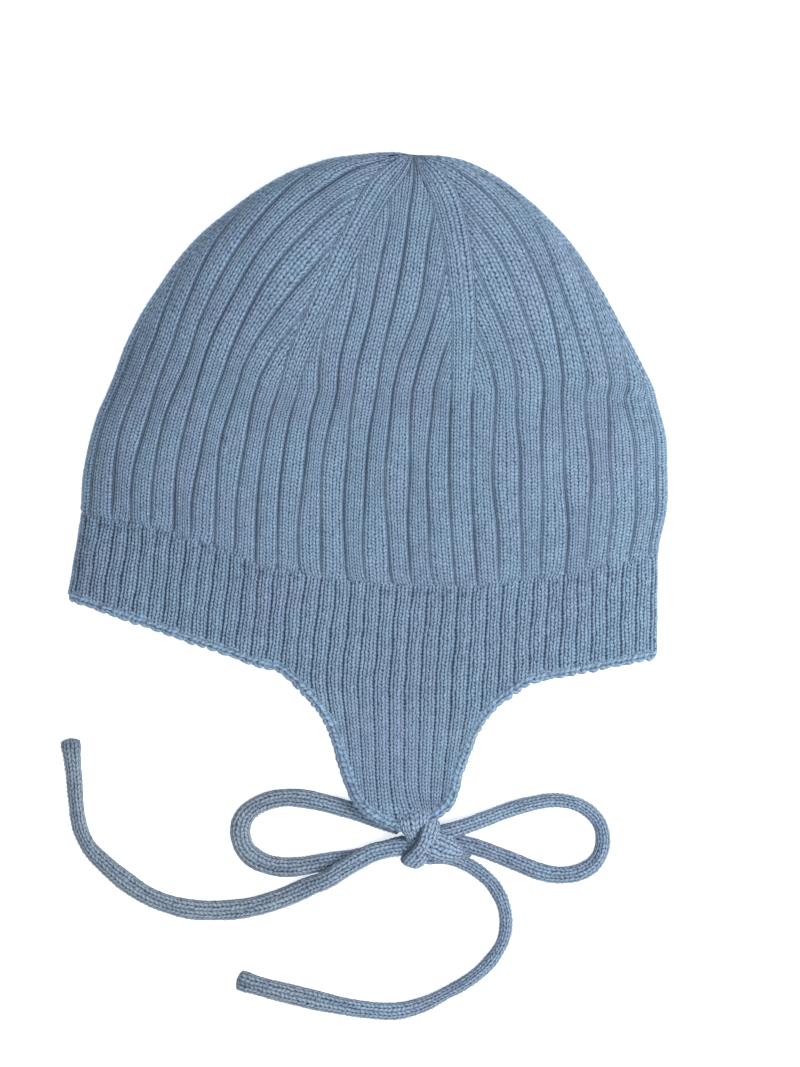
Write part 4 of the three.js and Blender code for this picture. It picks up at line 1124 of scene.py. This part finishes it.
@dataclass
class CastOffEdge:
    """The thick chain of cast-off stitches round the band's lower edge and both ear flaps."""

    form: Bonnet
    inset: float = 1.7
    width: float = 4.2
    thick: float = 2.9
    stitch_length: float = 1.9
    steps: int = 5  # mesh rows a stitch
    sides: int = 20
    relief: float = 0.3
    band_link: float = 3.9  # a link's length along the band
    flap_link: float = 2.7
    slant: float = 0.36  # how far a link leans, in links
    band_inner: float = 0.72  # how wide the edge's inner half is, as a share of its outer half
    flap_inner: float = 1.08
    band_swell: float = 0.5  # how much wider a link's middle is
    flap_swell: float = 0.3

    def line(self, side: Side) -> tuple[np.ndarray, np.ndarray]:
        """The edge's middle on one side from the front fold to the back fold, with the cloth's outward way.

        Args:
            side: which side.

        Returns:
            Points and directions.
        """
        form = self.form
        outline = form.flap_line(self.inset)
        start, end = form.edge_share(outline[[0, -1], 0])
        fronts = np.linspace(-1, start - 0.03, 40)
        backs = np.linspace(end + 0.03, 1, 50)
        u = np.r_[fronts, backs]
        turn = (u + 1) / 2 if side is Side.UPPER else 2 - (u + 1) / 2
        top = np.stack(form.plan(u, np.zeros_like(u)), axis=-1)
        low = np.stack(form.plan(u, -np.ones_like(u)), axis=-1)
        row = -1 + self.inset / np.linalg.norm(top - low, axis=-1)
        out = form.outward(turn, row)
        band = form.form(turn, row) - out * form.wall / 2
        run = outline[8:-8]
        z = form.flap_top(side, run[:, 0], np.minimum(run[:, 1], form.edge_y(run[:, 0]))) - form.flap_wall / 2
        flap = np.column_stack([run, z])
        ways = np.tile([0.0, 0.0, float(side.value)], (len(run), 1))
        count = len(fronts)
        points = np.concatenate([band[:count], flap, band[count:]])
        return points, np.concatenate([out[:count], ways, out[count:]])

    def ring(self) -> tuple[np.ndarray, np.ndarray, np.ndarray]:
        """The edge's whole smoothed line, down one side and back along the other.

        Returns:
            How far along it each point is, the points and the cloth's outward way. The last closes the ring.
        """
        upper, upper_out = self.line(Side.UPPER)
        under, under_out = self.line(Side.UNDER)
        corners = np.concatenate([upper, under[::-1][1:-1], upper[:1]])
        ways = np.concatenate([upper_out, under_out[::-1][1:-1], upper_out[:1]])
        reach = reach_along(corners)
        at = np.linspace(0, reach[-1], int(round(reach[-1] / self.stitch_length)) * self.steps + 1)
        spread = np.exp(-np.linspace(-2, 2, 17) ** 2)
        spread = spread / spread.sum()

        def smooth(values: np.ndarray) -> np.ndarray:
            """Values round the ring, each blended with its eight neighbours on both sides."""
            even = np.stack([np.interp(at, reach, axis) for axis in values.T], axis=-1)
            ring = np.concatenate([even[-9:-1], even, even[1:9]])
            return np.stack([np.convolve(axis, spread, mode="valid") for axis in ring.T], axis=-1)

        path, out = smooth(corners), unit(smooth(ways))
        path[-1], out[-1] = path[0], out[0]
        return at, path, out

    def build(self) -> bpy.types.Object:
        """Makes the closed ring: a flattened tube along the smoothed line, with links and scallops.

        Returns:
            The piece.
        """
        at, path, out = self.ring()
        wrapped = np.concatenate([path[-2:-1], path, path[1:2]])
        way = unit(wrapped[2:] - wrapped[:-2])
        side = unit(np.cross(way, out))
        up = unit(np.cross(side, way))
        angle = 2 * np.pi * np.arange(self.sides + 1)[:, None] / self.sides
        on_flap = ease((self.form.edge_y(path[:, 0]) - path[:, 1] - 1.5) / 5.0)
        # The links are counted so that a whole number of them closes the ring
        links = np.cumsum(np.gradient(at) / mix(self.band_link, self.flap_link, on_flap))
        links = links * round(links[-1]) / links[-1]
        links = links[None] + 0.1 * wave(at[None] / 23.0) + self.slant * np.cos(angle)
        number = np.mod(np.floor(links), round(float(links[0, -1])))
        bulge = np.sqrt(1 - (2 * np.mod(links, 1.0) - 1) ** 2)
        size = mix(self.band_swell, self.flap_swell, on_flap)[None] * (1 + 0.45 * uneven(number))
        swell = 0.82 + size * (bulge - 0.35)
        column = angle / (2 * np.pi) * 4 + 0.25 + 0 * links
        row = np.arange(len(at))[None] / self.steps + 0.5 * uneven(number)
        height = self.relief * (stitch_relief(column, row) - 0.45)
        out_side = np.cos(angle)[..., None] * side[None]
        out_up = np.sin(angle)[..., None] * up[None]
        outward = unit(out_side / self.width + out_up / self.thick)
        inner = mix(self.band_inner, self.flap_inner, on_flap)[None]
        across = self.width / 2 * swell * mix(inner, 1.0, (1 + np.cos(angle)) / 2)
        ring = out_side * across[..., None] + out_up * self.thick / 2 * mix(swell, 1.0, 0.3)[..., None]
        cloth = Cloth()
        # Painted shade between the links, where each link's bulge falls away
        knit = np.clip(0.25 + 1.1 * bulge, 0, 1)
        cloth.lay(path[None] + ring + outward * height[..., None], column, row, knit)
        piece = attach(cloth.piece("cast_off_chain"), "root")
        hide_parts("cast_off_edge")
        return piece


@dataclass
class Tie:
    """A knitted tie: from the flap's tip round its loop of the bow, through the knot to its tail's end."""

    name: str
    rows: tuple
    nodes: tuple[str, str]
    mean_width: float = 5.2
    thick: float = 3.3
    stitch_length: float = 1.5
    columns: int = 7
    sides: int = 35
    relief: float = 0.42
    steps: int = 4  # mesh rows a stitch row
    furrow: float = 0.35
    end_width: float = 0.7  # how much wider the cast-off end is, and how far that reaches
    end_reach: float = 3.4

    def build(self) -> bpy.types.Object:
        """Returns:
            The piece.
        """
        table = np.array(self.rows)
        places = table[:, :3] / MM
        reach = reach_along(places)
        at = np.linspace(0, reach[-1], int(reach[-1] / self.stitch_length * self.steps) + 1)
        path = curve(reach, places, at)
        cast_off = hump(at, reach[-1], self.end_reach, 4)
        width = along(reach, table[:, 3], at) * self.mean_width + self.end_width * cast_off
        width = width + 0.12 * wave(0.033 * at + 0.2) + 0.08 * wave(0.081 * at + 0.6)
        way = unit(np.gradient(path, axis=0))
        side = unit(np.stack([-way[:, 1], way[:, 0], 0 * at], axis=-1))
        knitted = (self.sides, self.stitch_length, self.columns, self.relief)
        tube = swept_rings(path, side, width, np.full_like(width, self.thick), *knitted)
        angle = 2 * np.pi * np.arange(self.sides + 1)[:, None] / self.sides
        # The furrow along the upper side wanders and is deeper in some places than in others
        strays = 0.22 * np.sin(at / 9.0) + 0.12 * np.sin(at / 3.7)
        deep = np.clip(0.65 + 0.35 * np.sin(at / 6.1 + 1.0) + 0.2 * np.sin(at / 2.3), 0.1, 1.0)
        furrow = hump(angle, np.pi / 2 + strays, 0.2) * deep
        tube["points"][..., 2] -= self.furrow * furrow
        # Painted shade along the furrow; the cast-off end is darker as well
        tube["knit"] = 1 - 0.7 * furrow - 0.4 * cast_off
        cloth = Cloth()
        close_tube(cloth, tube, path)
        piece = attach(cloth.piece(self.name), "root")
        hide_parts(*self.nodes)
        return piece


@dataclass
class Knot:
    """The middle of the bow: a lump of crossed strands, and the wrap that runs over it."""

    stitch_length: float = 1.5
    sides: int = 36
    relief: float = 0.42
    outwards_from = np.array([1.0, 1.0, -9.0])
    # The wrap from under the flap's tip over the strands and round below them, as x, y, z of its middle
    # and its width, all in millimetres from the knot's own middle
    wrap = np.array([
        [6.6, 9.4, 1.6, 5.0], [6.0, 7.6, 3.0, 6.4], [5.2, 4.9, 3.9, 6.8], [4.1, 1.6, 4.1, 7.0],
        [2.0, -1.5, 3.5, 7.2], [0.2, -3.4, 1.8, 7.4], [-0.5, -4.4, -0.6, 7.0], [-0.3, -3.8, -2.8, 5.6],
    ])
    # The flap's tip, gathered into the knot
    gather = np.array([
        [0.4, 13.4, 0.5, 10.4], [0.6, 11.6, 2.8, 10.8], [0.8, 9.7, 3.9, 10.4], [1.0, 7.8, 3.8, 9.6],
        [1.3, 5.6, 3.0, 8.0], [1.6, 3.4, 2.1, 6.4], [2.0, 1.4, 1.0, 5.0],
    ])
    # The strands' crossing to the right of the wrap
    crossing = np.array([
        [3.6, 3.2, 2.6, 8.2], [6.6, 2.0, 3.2, 9.6], [9.8, 0.7, 2.2, 9.8], [12.8, -0.5, 0.4, 8.2],
        [15.6, -1.5, -1.9, 4.6], [18.0, -2.3, -3.9, 1.2],
    ])

    def strand(
        self, cloth: Cloth, middle: np.ndarray, table: np.ndarray, thick: float, crease: float
    ) -> None:
        """Lays a short flattened knitted strand.

        Args:
            cloth: where it goes.
            middle: the knot's middle, in millimetres.
            table: rows of x, y, z and width, from that middle.
            thick: its thickness.
            crease: how much painted shade darkens its front side, where it presses into the strands beside
                it.
        """
        places = middle + table[:, :3]
        reach = reach_along(places)
        at = np.linspace(0, reach[-1], int(reach[-1] / self.stitch_length * 4) + 1)
        path = curve(reach, places, at)
        width = along(reach, table[:, 3], at)
        out = unit(path - (middle + self.outwards_from))
        side = unit(np.cross(out, unit(np.gradient(path, axis=0))))
        columns = int(round(width.mean() * 1.25))
        high = np.full(len(path), thick)
        tube = swept_rings(path, side, width, high, self.sides, self.stitch_length, columns, self.relief)
        angle = 2 * np.pi * np.arange(self.sides + 1)[:, None] / self.sides
        # Painted shade on the front side, in the crease against the strands beside it
        tube["knit"] = tube["knit"] - crease * hump(angle, 0.9 * np.pi, 0.45)
        close_tube(cloth, tube, path)

    def build(self) -> bpy.types.Object:
        """Makes the wrap, the gathered tip and the crossing, placed by the knot's solid.

        Returns:
            The piece.
        """
        low, high = (np.array(corner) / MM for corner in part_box("tie_knot"))
        middle = (low + high) / 2
        cloth = Cloth()
        self.strand(cloth, middle, self.wrap, thick=3.6, crease=1.8)
        self.strand(cloth, middle, self.gather, thick=2.6, crease=0.0)
        self.strand(cloth, middle, self.crossing, thick=4.6, crease=0.0)
        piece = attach(cloth.piece("knot_wrap"), "root")
        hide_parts("tie_knot")
        return piece


class Socket:
    """A shader socket that adds Math nodes when it is used in an expression."""

    def __init__(self, shader: "Shader", socket: bpy.types.NodeSocket) -> None:
        self.shader = shader
        self.socket = socket

    def _math(self, operation: str, *values: "Socket | float") -> "Socket":
        """A Math node on this and other values."""
        return self.shader.node("ShaderNodeMath", {"operation": operation}, dict(enumerate(values)))[0]

    def __add__(self, other: "Socket | float") -> "Socket":
        """Sum."""
        return self._math("ADD", self, other)

    def __radd__(self, other: "Socket | float") -> "Socket":
        """Sum, with a number on the left."""
        return self._math("ADD", other, self)

    def __sub__(self, other: "Socket | float") -> "Socket":
        """Difference."""
        return self._math("SUBTRACT", self, other)

    def __rsub__(self, other: "Socket | float") -> "Socket":
        """Difference, with a number on the left."""
        return self._math("SUBTRACT", other, self)

    def __mul__(self, other: "Socket | float") -> "Socket":
        """Product."""
        return self._math("MULTIPLY", self, other)

    def __rmul__(self, other: "Socket | float") -> "Socket":
        """Product, with a number on the left."""
        return self._math("MULTIPLY", other, self)

    def __pow__(self, other: "Socket | float") -> "Socket":
        """Power."""
        return self._math("POWER", self, other)

    def __abs__(self) -> "Socket":
        """Absolute value."""
        return self._math("ABSOLUTE", self)

    def sine(self) -> "Socket":
        """Sine."""
        return self._math("SINE", self)

    def fraction(self) -> "Socket":
        """The part after the point."""
        return self._math("FRACT", self)

    def held(self) -> "Socket":
        """Kept between 0 and 1."""
        return self._math("MINIMUM", self._math("MAXIMUM", self, 0.0), 1.0)


class Shader:
    """A material's node tree, and the one method that adds nodes to it."""

    def __init__(self, name: str) -> None:
        self.material = bpy.data.materials.new(name)
        self.material.use_nodes = True
        self.tree = self.material.node_tree
        self.tree.nodes.clear()

    def node(self, kind: str, settings: dict, inputs: dict) -> list[Socket]:
        """Adds a node.

        Args:
            kind: the node's type.
            settings: its properties, set first.
            inputs: values, colours or sockets by input name or number.

        Returns:
            Its outputs.
        """
        made = self.tree.nodes.new(kind)
        for key, value in settings.items():
            setattr(made, key, value)
        for key, value in inputs.items():
            if isinstance(value, Socket):
                self.tree.links.new(value.socket, made.inputs[key])
            else:
                made.inputs[key].default_value = value
        return [Socket(self, output) for output in made.outputs]

    def noise(self, place: Socket, scale: float, detail: float) -> Socket:
        """Noise at a place, about 0 to 1 with its middle at a half."""
        return self.node("ShaderNodeTexNoise", {}, {"Vector": place, "Scale": scale, "Detail": detail})[0]

    def blend(self, share: Socket, low: Socket | tuple, high: Socket | tuple) -> Socket:
        """A colour between two, by a share."""
        return self.node("ShaderNodeMix", {"data_type": "RGBA"}, {0: share, 6: low, 7: high})[2]


@dataclass(frozen=True)
class Yarn:
    """Knitted yarn: V stitches, painted shade in their gaps and darker in the grooves, fibres and a soft
    halo.
    """

    name: str
    seam: float = 0.2  # how much painted shade darkens the lines between the stitch columns
    groove: float = 0.6  # how much painted shade darkens the grooves
    dots: float = 1.1  # how much painted shade darkens the middles of the stitches
    skew: float = 0.0  # how much the painted shade of the lines between the columns differs by turns
    light: tuple[float, float, float] = (0.365, 0.535, 0.73)
    lilac: tuple[float, float, float] = (0.37, 0.495, 0.7)
    # dark: painted shade low in the stitches, mixed with the yarn's darker random tone
    dark: tuple[float, float, float] = (0.095, 0.17, 0.275)
    # gap: the colour of the painted shade in gaps, grooves, seams and the middles of stitches
    gap: tuple[float, float, float] = (0.025, 0.052, 0.1)
    # The colour that the left side fades to: painted shade
    left_shade_grey: tuple[float, float, float] = (0.41, 0.49, 0.58)
    left_shade: float = 0.0  # how far it dulls towards the front, the left: painted shade away from the light on the right
    relief: float = 0.0004

    def build(self) -> bpy.types.Material:
        """Makes the material. The stitches' height is the formula of stitch_relief, on the stitch map.

        Returns:
            The material.
        """
        shader = Shader(self.name)
        stitch_map = shader.node("ShaderNodeUVMap", {"uv_map": "stitches"}, {})[0]
        column, row, _ = shader.node("ShaderNodeSeparateXYZ", {}, {0: stitch_map})
        knit = shader.node("ShaderNodeAttribute", {"attribute_name": "knit"}, {})[2]
        place = shader.node("ShaderNodeTexCoord", {}, {})[3]
        loose = shader.noise(place, 520.0, 2.0)
        other = shader.noise(place, 760.0, 2.0)
        # A stitch as in stitch_relief, with its place moved a little by noise
        row = row + (loose - 0.5) * 0.9
        a = (column + 0.5 + (other - 0.5) * 0.5).fraction()
        t = abs(a * 2.0 - 1.0)
        s = (row - t * 0.6 + 16.0).fraction()
        leg = (1.0 - (t * 2.0 - 1.0) ** 2.0).held()
        length = (1.0 - (s * 2.0 - 1.0) ** 2.0).held()
        height = leg**0.6 * (length**0.7 * 0.8 + 0.2)
        in_leg = {0: t * 9.0 + s * 3.0, 1: row * 0.6, 2: column * 0.37}
        strands = shader.node("ShaderNodeCombineXYZ", {}, in_leg)[0]
        fibre = shader.noise(strands, 1.0, 3.0)
        tone = shader.noise(place, 60.0, 3.0)
        patch = shader.noise(place, 45.0, 2.0)
        own = shader.noise(place, 380.0, 1.0)
        # Painted shade by the stitch's height, its low parts darker, mixed with fibres and random tone
        shade = height * 0.82 + 0.07 + (fibre - 0.5) * 0.45 + (tone - 0.5) * 0.3 + (own - 0.5) * 0.5
        bright = shader.blend(((patch - 0.45) * 5.0).held(), (*self.light, 1.0), (*self.lilac, 1.0))
        # Painted shade: towards the left, away from the light on the right, the colour dulls
        x = shader.node("ShaderNodeSeparateXYZ", {}, {0: place})[0]
        bright = shader.blend((x * -30.0 + 0.1).held() * self.left_shade, bright, (*self.left_shade_grey, 1.0))
        body = shader.blend(shade.held(), (*self.dark, 1.0), bright)
        # Painted shade: dark between the columns, in the middle of a stitch, in its gaps and in the grooves
        line = ((t - 0.68) * 3.3).held() * self.seam * ((column * math.pi).sine() * self.skew + 1.0)
        dot = (1.0 - t * 2.8).held() * (1.1 - length * 0.8)
        # Painted shade where the stitch sinks low
        low_shade = ((0.42 - height) * 2.4).held() * 0.55
        depth = ((1.0 - knit) * self.groove + line + dot * self.dots + low_shade).held() * 0.9
        colour = shader.blend(depth, body, (*self.gap, 1.0))
        stands = {"Strength": 0.9, "Distance": self.relief, "Height": height + fibre * 0.5}
        normal = shader.node("ShaderNodeBump", {}, stands)[0]
        surface = shader.node("ShaderNodeBsdfPrincipled", {}, {
            "Base Color": colour, "Roughness": 0.93, "Normal": normal, "Specular IOR Level": 0.18,
            "Sheen Weight": 0.2, "Sheen Roughness": 0.6, "Sheen Tint": (0.75, 0.85, 1.0, 1.0),
        })[0]
        shader.node("ShaderNodeOutputMaterial", {}, {"Surface": surface})
        return shader.material


@dataclass(frozen=True)
class Studio:
    """The pale floor, the soft light from the right and the camera straight above."""

    camera_height: float = 1.1
    picture_height: float = 0.3521
    centre: tuple[float, float] = (0.01035, -0.0138)
    sensor: float = 36.0
    table_glow: float = 0.58

    def camera(self) -> None:
        """Puts the camera over the picture's middle, looking straight down."""
        data = bpy.data.cameras.new("camera")
        data.sensor_width = self.sensor
        data.lens = self.sensor * self.camera_height / self.picture_height
        data.clip_start = 0.01
        data.clip_end = 20.0
        camera = bpy.data.objects.new("camera", data)
        camera.location = (*self.centre, self.camera_height)
        bpy.context.scene.collection.objects.link(camera)
        bpy.context.scene.camera = camera

    def floor(self) -> None:
        """Lays the floor: a wide pale square under everything."""
        half = 3.0
        corners = [(-half, -half, 0), (half, -half, 0), (half, half, 0), (-half, half, 0)]
        mesh = bpy.data.meshes.new("floor")
        mesh.from_pydata(corners, [], [(0, 1, 2, 3)])
        floor = bpy.data.objects.new("floor", mesh)
        bpy.context.scene.collection.objects.link(floor)
        shader = Shader("pale paper")
        surface = shader.node("ShaderNodeBsdfPrincipled", {}, {
            "Base Color": (0.93, 0.93, 0.93, 1.0), "Roughness": 0.9, "Specular IOR Level": 0.1,
            "Emission Color": (1.0, 1.0, 1.0, 1.0), "Emission Strength": self.table_glow,
        })[0]
        shader.node("ShaderNodeOutputMaterial", {}, {"Surface": surface})
        mesh.materials.append(shader.material)

    def lamp(self, name: str, place: tuple, size: float, power: float) -> None:
        """Hangs a square lamp that faces the bonnet.

        Args:
            name: its name.
            place: where it hangs, in metres.
            size: its side, in metres.
            power: its power, in watts.
        """
        data = bpy.data.lights.new(name, "AREA")
        data.size = size
        data.energy = power
        lamp = bpy.data.objects.new(name, data)
        lamp.location = place
        away = math.hypot(place[0], place[1])
        lamp.rotation_euler = (0.0, math.atan2(away, place[2]), math.atan2(place[1], place[0]))
        bpy.context.scene.collection.objects.link(lamp)

    def build(self) -> None:
        """Sets up the camera, the floor, the lamps and the pale surroundings."""
        self.camera()
        self.floor()
        self.lamp("window", (1.15, -0.15, 1.0), 0.6, 16.0)
        self.lamp("fill", (-0.2, -0.7, 1.7), 1.2, 6.0)
        world = bpy.data.worlds.new("surroundings")
        world.use_nodes = True
        world.node_tree.nodes["Background"].inputs["Color"].default_value = (1.0, 1.0, 1.0, 1.0)
        world.node_tree.nodes["Background"].inputs["Strength"].default_value = 0.5
        bpy.context.scene.world = world
        bpy.context.scene.view_settings.view_transform = "Standard"


def main() -> None:
    """Builds the studio, the ties, the knot, the crown, the brim and the edge, and dresses them."""
    logging.basicConfig(level=logging.INFO)
    Studio().build()
    form = Bonnet()
    crown_yarn = Yarn("wide rib yarn", seam=0.12, groove=0.52).build()
    fine_yarn = Yarn("narrow rib yarn", seam=0.62, groove=0.8, dots=1.35, skew=0.4).build()
    edge_yarn = Yarn("edge yarn", seam=0.1, groove=0.45, dots=0.55).build()
    # The ties' colours, with painted shade to the left
    tie_colours = {"light": (0.42, 0.57, 0.75), "lilac": (0.43, 0.53, 0.72), "left_shade": 1.0}
    tie_yarn = Yarn("tie yarn", seam=0.25, **tie_colours).build()
    ties = [
        Tie("first_tie", FIRST_TIE_LOOP + FIRST_TIE_TAIL, ("first_tie_loop", "first_tie_tail")),
        Tie("second_tie", SECOND_TIE_LOOP + SECOND_TIE_TAIL, ("second_tie_loop", "second_tie_tail")),
    ]
    cords = [tie.build() for tie in ties] + [Knot().build()]
    brims = [Brim(form, side).build() for side in Side]
    dressed = ((cords, tie_yarn), (Crown(form).build(), crown_yarn), (brims, fine_yarn),
               ([CastOffEdge(form).build()], edge_yarn))
    for pieces, yarn in dressed:
        for piece in pieces:
            piece.data.materials.append(yarn)


if __name__ == "__main__":
    main()
